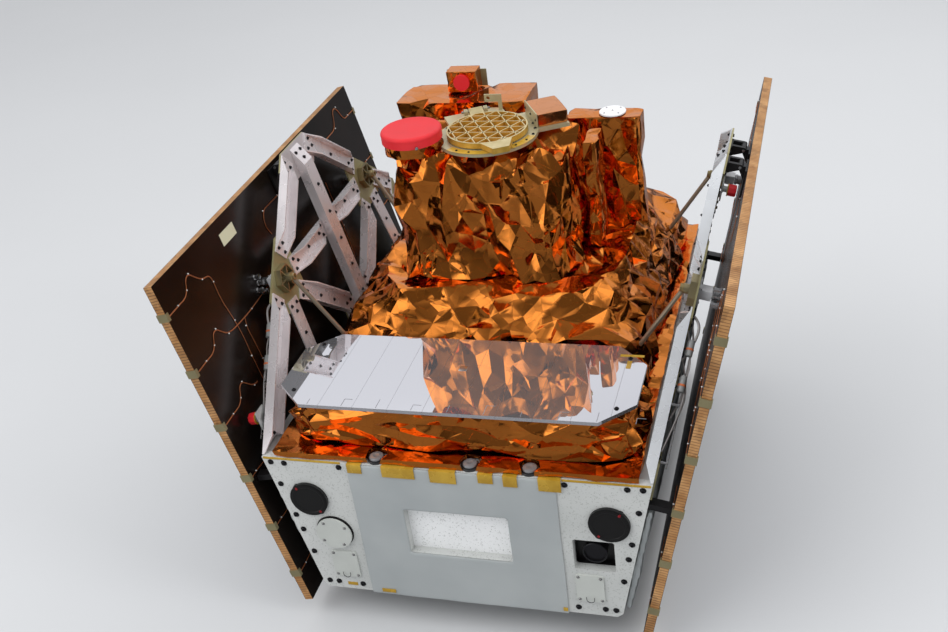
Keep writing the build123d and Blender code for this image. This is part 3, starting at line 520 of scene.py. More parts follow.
def gusset_finish(side):
    """A recipe for the gusset plates: olive, painted over on the inner faces at the peak and the feet."""

    def recipe(maker):
        outward = side_axes(side)[0]
        height = maker.axis((0, 0, 1))
        facing = maker.vector("DOT_PRODUCT", maker.node("ShaderNodeNewGeometry", out=1), outward)
        painted = (facing < -0.5) * ((height > deck_level + 0.34) + (height < deck_level + 0.1))
        patches = maker.noise(14, 3)
        return maker.shade(
            Base_Color=maker.mix(
                painted,
                maker.between(patches, (0.3, 0.27, 0.14), (0.42, 0.38, 0.2)),
                maker.between(patches, (0.6, 0.56, 0.56), (0.72, 0.68, 0.69)),
            ),
            Metallic=0.4,
            Roughness=patches * 0.12 + 0.3,
            Normal=maker.bump(maker.noise(400, 2), 0.1, 0.0006),
        )

    return recipe


def door_alloy(maker):
    """Converted alloy: cream where it was faced, golden in the pockets."""
    height = maker.axis((0, 0, 1))
    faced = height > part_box("aperture_door")[0].z + 0.0126
    patches = maker.noise(40, 3)
    return maker.shade(
        Base_Color=maker.mix(
            faced,
            maker.between(patches, (0.56, 0.33, 0.05), (0.8, 0.5, 0.1)),
            maker.between(patches, (0.62, 0.5, 0.24), (0.76, 0.64, 0.36)),
        ),
        Metallic=0.6,
        Roughness=patches * 0.15 + 0.28,
        Normal=maker.bump(maker.noise(300, 2), 0.1, 0.0005),
    )


def wing_skin(side):
    """A recipe for a wing panel: dark satin faces and striped honeycomb edges."""

    def recipe(maker):
        outward, upward = side_axes(side)
        inner = side_point(side, 0, 0, wing_gap).dot(outward)
        out = maker.axis(outward) - inner
        edge = (out > 0.0006) * (out < wing_thickness - 0.0006)
        along = maker.axis((0, 1, 0)) + maker.axis(upward)
        ragged = maker.noise(30, 3)
        cell = ((along + ragged * 0.004) % 0.0068) / 0.0068
        stripe = (cell > 0.72) * 0.6 + (maker.noise(18, 4) > 0.55) * 0.25
        skin = maker.noise(5, 3)
        edges = maker.mix(
            stripe, maker.between(ragged, (0.33, 0.15, 0.045), (0.55, 0.3, 0.12)), (0.10, 0.045, 0.018)
        )
        faces = maker.between(skin, (0.005, 0.0032, 0.0025), (0.013, 0.0075, 0.0055))
        return maker.shade(
            Base_Color=maker.mix(edge, faces, edges),
            Roughness=edge * 0.25 + skin * 0.1 + 0.2,
            Normal=maker.bump(edge * stripe * 0.5 + maker.noise(500, 2) * 0.05, 0.25, 0.002),
            Specular_IOR_Level=0.35,
        )

    return recipe


def solar_cell(maker):
    """Blue-black cells under cover glass, with fine collecting lines."""
    shift = maker.noise(8, 2)
    line = ((maker.axis((0, 1, 0)) + 1) % 0.0022) < 0.0003
    return maker.shade(
        Base_Color=maker.mix(
            line * 0.35, maker.between(shift, (0.008, 0.012, 0.035), (0.016, 0.02, 0.06)), (0.3, 0.31, 0.33)
        ),
        Roughness=shift * 0.05 + 0.12,
        Coat_Weight=1.0,
        Coat_Roughness=0.03,
    )


def stud_grey(maker):
    """Dark grey at its foot, with the turned top painted paler: a painted highlight on the stud."""
    # Above 7.2 mm over the deck the stud is painted paler: a painted highlight on its top.
    painted_highlight_dome = maker.axis((0, 0, 1)) > deck_level + 0.0072
    turned_lines = maker.noise(220, 2)
    return maker.shade(
        Base_Color=maker.mix(painted_highlight_dome, (0.05, 0.05, 0.052), (0.3, 0.3, 0.31)),
        Metallic=0.5,
        Roughness=turned_lines * 0.1 + 0.26,
        Normal=maker.bump(turned_lines, 0.1, 0.0004),
    )


def amber_tape(maker):
    """Amber polyimide tape, glossy and slightly uneven."""
    patches = maker.noise(30, 3)
    return maker.shade(
        Base_Color=maker.between(patches, (0.45, 0.26, 0.02), (0.62, 0.39, 0.045)),
        Roughness=patches * 0.15 + 0.2,
        Metallic=0.25,
        Normal=maker.bump(maker.noise(50, 2), 0.2, 0.002),
        Coat_Weight=0.5,
    )


def red_plastic(maker):
    return plain(
        bpy.context.scene.satellite_fittings.cap_colour, roughness=0.5, grain=160, depth=0.3
    )(maker)


# The left frame's colour is the pale truss paint tinted pink: painted reflected light from the amber foil.
def left_frame_paint_and_reflected_tint(maker):
    return truss_paint(bpy.context.scene.satellite_fittings.paint_and_reflected_tint)(maker)


recipes = {
    "amber_foil": amber_foil,
    "pink_foil": pink_foil,
    "mirror_tiles": mirror_tiles,
    "white_paint": speckled((0.57, 0.58, 0.565), (0.47, 0.485, 0.47), 0.55),
    # The window tray is the face's speckled white paint made about half again as pale: painted light on the
    # window's floor.
    "window_tray": speckled((0.86, 0.87, 0.87), (0.76, 0.77, 0.77), 0.5),
    "cover_plates": plain((0.5, 0.52, 0.49), roughness=0.36, mottle=0.1),
    "lens_caps": plain((0.005, 0.005, 0.005), roughness=0.42),
    "grey_cloth": grey_cloth,
    # Near-black; the painted shadow ring round the round cover wears it.
    "black_trim": plain((0.009, 0.0085, 0.009), roughness=0.38),
    "panel_skin": plain((0.5, 0.51, 0.5), metallic=0.4, roughness=0.42),
    "bare_metal": plain((0.6, 0.6, 0.6), metallic=0.95, roughness=0.28),
    "gold_alloy": plain((0.64, 0.57, 0.36), metallic=0.6, roughness=0.35),
    "aperture_door": door_alloy,
    "fitting_gold": plain((0.5, 0.4, 0.2), metallic=0.8, roughness=0.3, mottle=0.25),
    "knee_fittings": plain((0.5, 0.42, 0.24), metallic=0.8, roughness=0.3, mottle=0.3),
    "olive_alloy": plain((0.33, 0.29, 0.16), metallic=0.5, roughness=0.38, mottle=0.2),
    "left_frame": left_frame_paint_and_reflected_tint,
    # The right frame is the same pale truss paint tinted blue: painted reflected light.
    "right_frame": truss_paint((0.86, 0.885, 0.91)),
    "left_gussets": gusset_finish(-1),
    "right_gussets": gusset_finish(1),
    "strut_tube": plain((0.42, 0.35, 0.26), metallic=0.7, roughness=0.3),
    "red_plastic": red_plastic,
    "patch_antenna": plain((0.82, 0.82, 0.83), roughness=0.35, mottle=0.04),
    "solar_panel": plain((0.02, 0.014, 0.01), roughness=0.3),
    "left_wing_panel": wing_skin(-1),
    "right_wing_panel": wing_skin(1),
    "solar_cell": solar_cell,
    "amber_tape": amber_tape,
    "stud_grey": stud_grey,
    "braid": plain((0.66, 0.62, 0.6), metallic=0.5, roughness=0.3),
    "dark_red": plain((0.3, 0.012, 0.018), roughness=0.45),
    "orange_band": plain((0.75, 0.2, 0.07), roughness=0.4),
    "hold_down_blocks": plain((0.78, 0.78, 0.8), roughness=0.35),
    "dark_steel": plain((0.05, 0.05, 0.055), metallic=0.9, roughness=0.35),
    "silver": plain((0.72, 0.72, 0.72), metallic=1.0, roughness=0.2),
    "copper_wire": plain((0.62, 0.22, 0.09), metallic=0.7, roughness=0.3),
    "white_nylon": plain((0.75, 0.75, 0.73), roughness=0.4),
    "cream_label": plain((0.62, 0.6, 0.42), roughness=0.5, mottle=0.06),
    "lens_glass": plain((0.01, 0.012, 0.02), roughness=0.08, depth=0.0, coat=1.0),
    "grey_print": plain((0.22, 0.22, 0.24), roughness=0.4),
}


def crumple(piece, voxel, size, dent, stretch=(1, 1, 1), seed=1, drop=0.0, flare=0.0, top=0.012, levels=1):
    """Turn a smooth form into creased foil: ridges, facets in two sizes, its foot let down and flared."""
    low, high = Vector(piece.bound_box[0]), Vector(piece.bound_box[6])
    middle = (low + high) / 2
    modify(piece, "REMESH", mode="VOXEL", voxel_size=voxel)
    ridges = bpy.data.textures.new("ridges", "VORONOI")
    ridges.noise_scale = size * 1.5
    ridges.weight_1 = -1
    ridges.weight_2 = 1
    for share, depth in ((0.8, dent * 0.6), (0.36, dent * 0.16)):
        with editing():
            bpy.ops.transform.resize(value=stretch, center_override=middle)
            bpy.ops.transform.vertex_random(offset=depth * 0.6, uniform=0.2, normal=0, seed=seed)
        area = sum(face.area for face in piece.data.polygons)
        count = area / (0.43 * (size * share) ** 2)
        if share < 0.5:
            modify(piece, "SUBSURF", subdivision_type="SIMPLE", levels=2, render_levels=2)
        else:
            modify(
                piece, "DISPLACE", texture=ridges, strength=dent * 1.1, mid_level=0.4,
                texture_coords="LOCAL",
            )
        modify(piece, "DECIMATE", ratio=min(1.0, count / (2 * len(piece.data.polygons))))
        with editing():
            bpy.ops.transform.vertex_random(offset=depth, uniform=0.1, normal=1, seed=seed + 1)
            bpy.ops.transform.resize(value=[1 / share for share in stretch], center_override=middle)
    with editing("DESELECT"):
        bpy.ops.mesh.select_mode(type="EDGE")
        bpy.ops.mesh.edges_select_sharp(sharpness=radians(11))
        bpy.ops.transform.edge_crease(value=0.82)
    modify(piece, "SUBSURF", levels=levels, render_levels=levels)
    new_low = Vector([min(vertex.co[axis] for vertex in piece.data.vertices) for axis in range(3)])
    new_high = Vector([max(vertex.co[axis] for vertex in piece.data.vertices) for axis in range(3)])
    fit = Matrix.Diagonal(
        [(high[axis] - low[axis]) / (new_high[axis] - new_low[axis]) for axis in range(3)]
    ).to_4x4()
    piece.data.transform(Matrix.Translation(middle) @ fit @ Matrix.Translation(-(new_low + new_high) / 2))
    for vertex in piece.data.vertices:
        rise = (vertex.co.z - low.z) / (high.z - low.z)
        spread = 1 + flare * max(0.0, 1 - rise / 0.3) ** 1.6
        vertex.co.x = middle.x + (vertex.co.x - middle.x) * spread
        vertex.co.y = middle.y + (vertex.co.y - middle.y) * spread
        vertex.co.z -= drop * (1 - rise)
        # the top's dents are flattened down to its depth, and eased back to their own over as much again
        fall = high.z - vertex.co.z
        if fall < top * 2.2:
            vertex.co.z = high.z - max(fall * 0.15, fall * 1.708 - top * 1.558)


def seat_finder(*nodes):
    """A finder for where a straight line first meets any of the nodes."""
    corners, faces = [], []
    for node in nodes:
        mesh = frame["nodes"][node].data
        start = len(corners)
        corners += [vertex.co.copy() for vertex in mesh.vertices]
        faces += [[start + index for index in face.vertices] for face in mesh.polygons]
    return BVHTree.FromPolygons(corners, faces)


def add_lamp(name, size, place, target, power):
    """A square soft light aimed at a point."""
    lamp = bpy.data.lights.new(name, "AREA")
    lamp.shape = "RECTANGLE"
    lamp.size, lamp.size_y = size
    lamp.energy = power
    holder = bpy.data.objects.new(name, lamp)
    bpy.context.scene.collection.objects.link(holder)
    holder.matrix_world = aim(Vector(place), Vector(place) - Vector(target))
    holder.visible_glossy = False
    return holder


def colour_setting(name, description, default):
    return FloatVectorProperty(name=name, description=description, default=default, subtype="COLOR")


class SatelliteStage(bpy.types.PropertyGroup):
    lens: FloatProperty(
        name="Lens", description="Focal length of the camera", default=45.124, unit="CAMERA"
    )
    floor_colour: colour_setting("Floor", "Colour of the floor", (0.58, 0.59, 0.6))


class SatelliteFoil(bpy.types.PropertyGroup):
    colour: colour_setting("Foil", "Colour of the amber foil", (0.95, 0.3, 0.05))
    fold: FloatProperty(
        name="Fold size", description="Size of the folds against the usual", default=1.0, min=0.5, max=3.0,
        subtype="FACTOR",
    )
    depth: FloatProperty(
        name="Fold depth", description="Depth of the dents against the usual", default=1.0, min=0.0,
        max=2.0, subtype="FACTOR",
    )


class SatelliteFittings(bpy.types.PropertyGroup):
    cap_colour: colour_setting("Caps", "Colour of the red covers", (0.72, 0.02, 0.028))
    # The left frame's pale paint with a pink tint: painted reflected light from the foil.
    paint_and_reflected_tint: colour_setting("Truss paint", "Colour of the left frame", (0.86, 0.81, 0.82))
    bolt_radius: FloatProperty(
        name="Bolt heads", description="Radius of the frames' bolt heads", default=0.0036, unit="LENGTH"
    )
    wire_radius: FloatProperty(
        name="Wires", description="Radius of the wings' wires", default=0.0007, unit="LENGTH"
    )


class SATELLITE_OT_stage(bpy.types.Operator):
    """Floor, soft lights and the camera"""

    bl_idname = "satellite.stage"
    bl_label = "Stage"

    def execute(self, context):
        settings = context.scene.satellite_stage
        scene = context.scene
        take(next(iter(frame["nodes"].values())))
        bpy.ops.object.select_all(action="DESELECT")
        bpy.ops.mesh.primitive_plane_add(size=40, location=(0, 0, 0))
        floor = made("floor")
        maker = Finish("floor")
        patches = maker.noise(0.7, 3)
        colour = list(settings.floor_colour)
        pale = maker.between(patches, [c * 0.97 for c in colour], colour)
        # To glossy rays the floor shows dark grey in place of its own pale colour: painted dark reflections
        # of the floor in the foil and metal.
        glossy = maker.node("ShaderNodeLightPath", out=3)
        floor.data.materials.append(
            maker.shade(Base_Color=maker.mix(glossy, pale, (0.16, 0.16, 0.165)), Roughness=0.6)
        )
        add_lamp("key", (4.5, 3.0), (-2.6, -2.9, 4.4), (0, 0, 0.5), 122)
        add_lamp("fill", (1.6, 3.0), (3.9, -1.2, 2.9), (0, 0, 0.5), 62)
        add_lamp("back", (4.5, 1.6), (0.8, 3.4, 3.9), (0, 0, 0.6), 55)
        world = bpy.data.worlds.new("room")
        scene.world = world
        world.use_nodes = True
        maker = Finish("room_light")
        maker.tree = world.node_tree
        maker.tree.nodes.clear()
        gaze = maker.node("ShaderNodeTexCoord", out=0)
        across, depth, height = (
            maker.node("ShaderNodeSeparateXYZ", None, gaze, out=axis) for axis in range(3)
        )
        soft = maker.ramp(
            height * 0.5 + 0.5, (0.45, (0.4, 0.41, 0.42)), (0.6, (0.62, 0.63, 0.65)),
            (1.0, (1.1, 1.1, 1.12)),
        )
        walls = maker.ramp(
            depth * 0.5 + 0.5, (0.25, (0.12, 0.12, 0.125)), (0.62, (0.28, 0.28, 0.3)),
            (0.85, (0.72, 0.73, 0.76)),
        )
        strips = maker.ramp(
            abs((across / (height + 0.25)) % 0.9 - 0.45) / 0.45, (0.1, (1.25, 1.25, 1.25)),
            (0.5, (0.34, 0.34, 0.36)), (0.9, (0.2, 0.2, 0.21))
        )
        upper = maker.mix(maker.ramp(height, (0.56, (0, 0, 0)), (0.8, (1, 1, 1))), walls, strips)
        side_window = maker.vector("DOT_PRODUCT", gaze, (-0.74, -0.64, 0.2))
        upper = maker.mix(
            maker.ramp(side_window, (0.86, (0, 0, 0)), (0.96, (1, 1, 1))), upper, (1.5, 1.5, 1.45)
        )
        room = maker.mix(maker.ramp(height, (0.0, (0, 0, 0)), (0.2, (1, 1, 1))), (0.06, 0.06, 0.064), upper)
        glossy = maker.node("ShaderNodeLightPath", out=3)
        light = maker.node("ShaderNodeBackground", None, maker.mix(glossy, soft, room))
        maker.node("ShaderNodeOutputWorld", None, light)
        camera = bpy.data.cameras.new("view")
        camera.sensor_width = 36
        camera.lens = settings.lens
        holder = bpy.data.objects.new("view", camera)
        scene.collection.objects.link(holder)
        right = Vector((0.95754, 0.26175, -0.12087))
        down = Vector((0.03576, -0.52381, -0.85108))
        forward = Vector((-0.28608, 0.81062, -0.51093))
        turn = Matrix((right, -down, -forward)).transposed().to_4x4()
        holder.matrix_world = Matrix.Translation((0.735468, -2.329349, 1.962605)) @ turn
        scene.camera = holder
        scene.view_settings.view_transform = "Standard"
        return {"FINISHED"}


class SATELLITE_OT_foil(bpy.types.Operator):
    """Creased foil over the instrument"""

    bl_idname = "satellite.foil"
    bl_label = "Foil"

    def execute(self, context):
        settings = context.scene.satellite_foil
        wraps = (
            # node, voxel, facet size, dent depth, stretch, seed,
            # foot let down, foot flared, top kept level, smoothing levels
            ("instrument_base", 0.009, 0.066, 0.018, (0.65, 1, 1), 11, 0.006, 0.0, 0.012, 2),
            ("instrument_tower", 0.008, 0.060, 0.024, (1, 1, 0.42), 23, 0.036, 0.15, 0.024, 2),
            ("rear_box", 0.008, 0.078, 0.011, (1, 1, 0.8), 31, 0.010, 0.0, 0.009, 2),
            ("side_box", 0.006, 0.040, 0.010, (1, 1, 0.45), 43, 0.012, 0.05, 0.030, 2),
            ("instrument_pillar", 0.006, 0.034, 0.010, (1, 1, 0.45), 53, 0.012, 0.05, 0.024, 2),
            ("mirror_box", 0.006, 0.034, 0.012, (0.3, 1, 1), 61, 0.008, 0.0, 0.004, 2),
            ("deck_blanket", 0.004, 0.034, 0.004, (1, 1, 1), 71, 0.0, 0.0, 0.004, 1),
            ("aperture_barrel", 0.003, 0.020, 0.002, (1, 1, 0.5), 75, 0.004, 0.0, 0.004, 2),
        )
        for node, voxel, size, dent, stretch, seed, drop, flare, top, levels in wraps:
            piece = copy_of(node, node + "_foil")
            crumple(
                piece, voxel, size * settings.fold, dent * settings.depth, stretch, seed, drop, flare, top,
                levels,
            )
            set_down(piece, "bus", "amber_foil", 14, (node,))
        return {"FINISHED"}


class SATELLITE_OT_finishes(bpy.types.Operator):
    """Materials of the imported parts"""

    bl_idname = "satellite.finishes"
    bl_label = "Finishes"

    def execute(self, context):
        for entry in frame["record"]["subparts"]:
            part = frame["nodes"][entry["node"]]
            part.data.materials.clear()
            name = entry["node"] if entry["node"] in recipes else entry["material_slot"]
            part.data.materials.append(finish(name))
        return {"FINISHED"}


class SATELLITE_OT_blankets(bpy.types.Operator):
    """Grey cloth blankets on the front face and the body's sides"""

    bl_idname = "satellite.blankets"
    bl_label = "Blankets"

    def execute(self, context):
        folds = bpy.data.textures.new("blanket_folds", "CLOUDS")
        folds.noise_scale = 0.13
        for node, voxel, keep, depth in (
            ("front_blanket", 0.0028, 0.35, 0.0025), ("side_blankets", 0.007, 1.0, 0.012)
        ):
            piece = copy_of(node, node + "_cloth")
            modify(piece, "REMESH", mode="VOXEL", voxel_size=voxel)
            modify(piece, "SMOOTH", factor=0.5, iterations=2)
            modify(piece, "DISPLACE", texture=folds, strength=depth, mid_level=0.5, texture_coords="LOCAL")
            if keep < 1:
                modify(piece, "DECIMATE", ratio=keep)
            set_down(piece, "bus", "grey_cloth", 40, (node,))
        return {"FINISHED"}


# Places on the front face: x to each side and height of the bolts, the round cover, the lens caps and
# the camera's middle; the cover plates' and the studs' x; and x of the tape tabs' ends
round_cover = (-0.2855, 0.264)
lens_cap = (0.328, 0.354)
front_camera = (0.29045, 0.2625)
cover_plate_x = 0.2764
stud_xs = (-0.161, 0.044, 0.1695)
face_bolts = metres((
    (400, 447), (369, 446), (243, 446), (389, 388), (371, 303),
    (362, 262), (349, 199), (327.5, 114), (305, 114), (247, 113),
))
tape_tabs = metres(((-222, -190), (-145, -73), (-40, 17), (64, 96), (117, 147), (190, 237)))


class SATELLITE_OT_faces(bpy.types.Operator):
    """Screws, tape tabs, lens, studs and covers on the front and rear faces"""

    bl_idname = "satellite.faces"
    bl_label = "Faces"

    def execute(self, context):
        ahead, behind = Vector((0, -1, 0)), Vector((0, 1, 0))
        places = [aim((side * x, front_face, z), ahead) for x, z in face_bolts for name, side in sides]
        places += [aim((side * x, rear_face, z), behind) for x, z in face_bolts for name, side in sides]
        fasten(cap_screw(0.0047), places, "face_bolts", "dark_steel")

        low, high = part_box("cover_plates")
        places = []
        for name, side in sides:
            for dx in (-0.024, 0.024):
                for dz in (-0.031, 0.031):
                    places.append(aim((side * cover_plate_x + dx, front_face - 0.004, 0.172 + dz), ahead))
        for dx, dz in round_about(0.034, (0.6, 2.2, 3.8, 5.3)):
            places.append(aim((round_cover[0] + dx, low.y, round_cover[1] + dz), ahead))
        fasten(cap_screw(0.0026), places, "cover_screws", "silver")
        # A black ring round the round cover's edge: a painted shadow of the gap where the cover stands
        # proud of the face.
        shadow_ring = turned("shadow_ring", ((43.2, 0), (43.2, 0.6), (42.5, 1.1), (40.2, 1.1)), 48)
        places = [aim((round_cover[0], front_face, round_cover[1]), ahead)]
        fasten(shadow_ring, places, "round_cover_shadow_ring", "black_trim")
        latches = []
        for name, side in sides:
            arc = [(0.0085, -0.006), *round_about(0.0085, even_turns(12)[:7]), (-0.0085, -0.006)]
            points = [(side * cover_plate_x + dx, low.y - 0.0002, 0.146 - dz) for dx, dz in arc]
            latches.append(wire("latch", points, 0.0007, 1, False))
        set_down(join(latches, "cover_latches"), "bus", "dark_steel", 60)

        ears = ((-0.3505, 0.383), (-0.3055, 0.325), (0.3505, 0.383), (0.3055, 0.325))
        cap_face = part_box("lens_caps")[0].y
        places = [aim((x, cap_face, z), ahead) for x, z in ears]
        fasten(cap_screw(0.0027), places, "lens_cap_screws", "dark_red")
        rings = [aim((side * lens_cap[0], cap_face + 0.0004, lens_cap[1]), ahead) for name, side in sides]
        ring = turned("ring", ((40, 0), (40, 1.2), (37, 1.6), (34, 1.6), (33, 0.8), (12, 0.8)), 40)
        fasten(ring, rings, "lens_cap_rims", "lens_caps")

        glass = turned("lens", ((20.8, 0), (20.8, 1), (18, 3.5), (12, 5.8), (5, 6.8)), 32)
        ring = turned("ring", ((26.2, 0), (26.2, 4), (24.8, 5), (22.5, 5), (22.2, 1)), 32)
        seats = [
            aim((front_camera[0], front_face + inset, front_camera[1]), ahead) for inset in (0.020, 0.0135)
        ]
        fasten(glass, seats[:1], "camera_lens", "lens_glass", angle=60)
        fasten(ring, seats[1:], "camera_lens_ring", "dark_steel")

        boxes = []
        for index, (left, right) in enumerate(tape_tabs):
            drop = 0.021 + 0.004 * (index % 3)
            boxes.append((left, -0.0064, deck_level - drop, right, -0.0044, deck_level + 0.0012, 0.0003))
            boxes.append((left, -0.0060, deck_level + 0.0004, right, 0.006, deck_level + 0.0016, 0.0003))
        for name, side in sides:
            inner, outer = sorted((side * 0.238, side * 0.416))
            boxes.append((inner, -0.0006, deck_level - 0.0045, outer, 0.001, deck_level + 0.0006, 0.0002))
        for x, z, width, proud in (
            (-0.284, 0.106, 0.024, 0.0008), (-0.200, 0.101, 0.032, 0.0064), (0.214, 0.102, 0.010, 0.0064)
        ):
            boxes.append((x, -proud, z, x + width, 0.002 - proud, z + 0.009, 0.0003))
        strips = [
            block("strip", (x0, front_face + y0, z0), (x1, front_face + y1, z1), soft)
            for x0, y0, z0, x1, y1, z1, soft in boxes
        ]
        set_down(join(strips, "face_tape"), "bus", "amber_tape")

        profile = (
            (19, 0), (19, 4.2), (18.4, 5), (16.2, 5), (15.8, 4.6),
            (15.5, 8), (14.6, 10), (11.8, 11.5), (7, 12), (6, 11.4),
        )
        places = [aim((x, front_face + 0.0195, deck_level), (0, 0, 1)) for x in stud_xs]
        studs = copies(turned("stud", profile, 40), places, "stud_domes")
        set_down(studs, "bus", "stud_grey", 35, ("deck_studs",))

        covers, corners = [], []
        for x0, z0, x1, z1, proud in (
            (-0.30, 0.16, -0.12, 0.30, 0.004), (0.10, 0.22, 0.30, 0.38, 0.004),
            (-0.09, 0.33, 0.06, 0.42, 0.006)
        ):
            covers.append(block("cover", (x0, rear_face, z0), (x1, rear_face + proud, z1), 0.0012))
            for x in (x0 + 0.009, (x0 + x1) / 2, x1 - 0.009):
                for z in (z0 + 0.009, z1 - 0.009):
                    corners.append(aim((x, rear_face + proud, z), behind))
        set_down(join(covers, "rear_covers"), "bus", "white_paint")
        fasten(cap_screw(0.0028), corners, "rear_cover_screws", "silver")
        plug = turned(
            "plug", ((14, 0), (14, 3), (11, 4), (11, 13), (12, 13.5), (12, 16), (9.5, 16), (9, 10)), 24
        )
        places = [
            aim((x, rear_face + 0.006, z), behind)
            for x, z in ((-0.062, 0.375), (-0.015, 0.392), (-0.015, 0.358), (0.032, 0.375))
        ]
        fasten(plug, places, "rear_sockets", "bare_metal")
        bolts = [
            aim((x, y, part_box("adapter_ring")[1].z - 0.008), (0, 0, -1))
            for x, y in round_about(0.311, even_turns(24))
        ]
        fasten(cap_screw(0.004), bolts, "adapter_bolts", "bare_metal")
        return {"FINISHED"}


class SATELLITE_OT_mirror(bpy.types.Operator):
    """Ticks, screws, a small port and tape on the mirror plate"""

    bl_idname = "satellite.mirror"
    bl_label = "Mirror"

    def execute(self, context):
        low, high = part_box("mirror_plate")
        top = high.z
        places = [aim((x, y, top), (0, 0, 1)) for x in (0.3446, -0.3446) for y in (-0.293, -0.470)]
        fasten(cap_screw(0.0036), places, "mirror_screws", "dark_steel")
        marks = []
        for index in range(10):
            x = low.x + 0.085 + index * tile_pitch
            start = low.y + 0.003
            end = start + 0.018 + 0.006 * (index % 3)
            marks.append((x, start, x + 0.0012, end))
            if index % 2:
                marks.append((x, end, x + 0.018, end + 0.0012))
        marks = [
            block("tick", (x0, y0, top - 0.0002), (x1, y1, top + 0.0002), 0) for x0, y0, x1, y1 in marks
        ]
        set_down(join(marks, "mirror_ticks"), "bus", "grey_print", None)
        frame_low = Vector((-0.0085, -0.368, top - 0.0004))
        port = block("port", frame_low, frame_low + Vector((0.017, 0.017, 0.0012)), 0.0003)
        hole = turned("hole", ((4.5, 1.2), (4.5, 1.6), (3, 1.8)), 16)
        hole.location = frame_low + Vector((0.0085, 0.0085, 0))
        set_down(join([port, hole], "mirror_port"), "bus", "bare_metal")
        strips = [
            block("strip", (x0, y0, top), (x1, y1, top + 0.0004), 0)
            for x0, y0, x1, y1 in ((0.322, -0.287, 0.372, -0.279), (0.340, -0.330, 0.350, -0.303))
        ]
        set_down(join(strips, "mirror_tape"), "bus", "amber_tape", None)
        return {"FINISHED"}


# The ribbed door's lattice, in metres
door_middle = Vector((-0.004, 0.027, 0))
lattice_start = Vector((-0.0591, 0.0904, 0))
rib_pitch = 0.0359
hinge_turn = radians(118.7)


class SATELLITE_OT_top(bpy.types.Operator):
    """Door, flange, cap, tracker and drive box on the instrument's top"""

    bl_idname = "satellite.top"
    bl_label = "Instrument top"

    def execute(self, context):
        up = (0, 0, 1)
        door_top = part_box("aperture_door")[0].z + 0.013
        dots = []
        for row in range(-6, 7):
            for column in range(-6, 7):
                spot = lattice_start + Vector(
                    ((column + row / 2) * rib_pitch, row * rib_pitch * sin(pi / 3), 0)
                )
                if (spot - door_middle).length < 0.083:
                    dots.append(aim((spot.x, spot.y, door_top), up))
        dot = turned("dot", ((1.9, 0), (1.9, 0.4), (1.2, 0.5)), 12)
        fasten(dot, dots, "door_pins", "dark_steel", "aperture_door")

        flange_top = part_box("instrument_tower")[1].z + 0.008
        turns = [radians(degrees) for degrees in (245, 262, 320, 338, 356, 14, 30, 150, 165)]
        places = [
            aim((door_middle.x + dx, door_middle.y + dy, flange_top), up)
            for dx, dy in round_about(0.106, turns)
        ]
        fasten(cap_screw(0.0026), places, "flange_screws", "dark_steel")
        flange_middle = Matrix.Translation((*door_middle.xy, flange_top))
        strips = []
        for degrees in range(238, 350, 9):
            turn = radians(degrees)
            strip = block("strip", (0.096, -0.0105, 0), (0.1145, 0.0105, 0.0004 + degrees % 2 * 0.0003), 0)
            strip.matrix_world = flange_middle @ Matrix.Rotation(turn, 4, "Z")
            strips.append(strip)
        set_down(join(strips, "flange_tape"), "bus", "amber_tape", None)

        low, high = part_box("aperture_barrel")
        middle = Vector(((low.x + high.x) / 2, (low.y + high.y) / 2, 0))
        cap_low, cap_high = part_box("aperture_cap")
        cap = turned(
            "cap",
            (
                (64.5, 0), (67.5, 0.8), (67.5, 17), (68.1, 17.8), (68.1, 20.5),
                (66.7, 23.5), (64, 25.5), (59.5, 26), (56.5, 25.4), (20, 25.4),
            ),
            96,
        )
        cap.location = (middle.x, middle.y, cap_high.z - 0.026)
        turn = radians(-64)
        along = Vector((cos(turn), sin(turn), 0))
        pin = turned("pin", ((3, 0), (3, 7), (3.6, 7.4), (3.6, 9.2), (2.6, 9.8)), 16)
        foot = middle + along * 0.0665
        pin.matrix_world = aim((foot.x, foot.y, cap_high.z - 0.020), along)
        set_down(cap, "aperture_cap", "red_plastic", 35, ("aperture_cap",))
        set_down(pin, "aperture_cap", "silver")

        low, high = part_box("star_tracker")
        case = block("case", (-0.160, 0.250, low.z), (-0.085, 0.2955, high.z), 0)
        crumple(case, 0.003, 0.014, 0.0012, seed=81)
        case.name = "tracker_foil"
        set_down(case, "bus", "amber_foil", 25, ("star_tracker",))
        plate = block("tracker_plate", (low.x, 0.296, low.z), (high.x, 0.300, low.z + 0.0416), 0.0008)
        set_down(plate, "bus", "olive_alloy")

        low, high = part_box("door_drive_box")
        centre = Matrix.Translation((0.113, 0.114, low.z)) @ Matrix.Rotation(hinge_turn, 4, "Z")
        case = block("case", (-0.049, -0.035, 0), (0.049, 0.0348, 0.029), 0)
        crumple(case, 0.003, 0.022, 0.0009, seed=91)
        case.matrix_world = centre
        case.name = "drive_box_foil"
        set_down(case, "bus", "pink_foil", 25, ("door_drive_box",))
        plate = block("drive_box_plate", (-0.049, 0.035, 0), (0.049, 0.038, 0.032), 0.0008)
        plate.matrix_world = centre
        set_down(plate, "bus", "gold_alloy")
        screws = [centre @ aim((x, 0.038, 0.016), (0, 1, 0)) for x in (-0.042, 0, 0.042)]
        fasten(cap_screw(0.0022), screws, "drive_box_screws", "dark_steel")

        low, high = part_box("patch_antenna")
        middle = (low + high) / 2
        places = [
            aim((middle.x + dx, middle.y + dy, high.z), up)
            for dx, dy in round_about(0.023, even_turns(4, pi / 4)) + [(0, 0)]
        ]
        fasten(cap_screw(0.0017), places, "patch_screws", "silver")
        return {"FINISHED"}


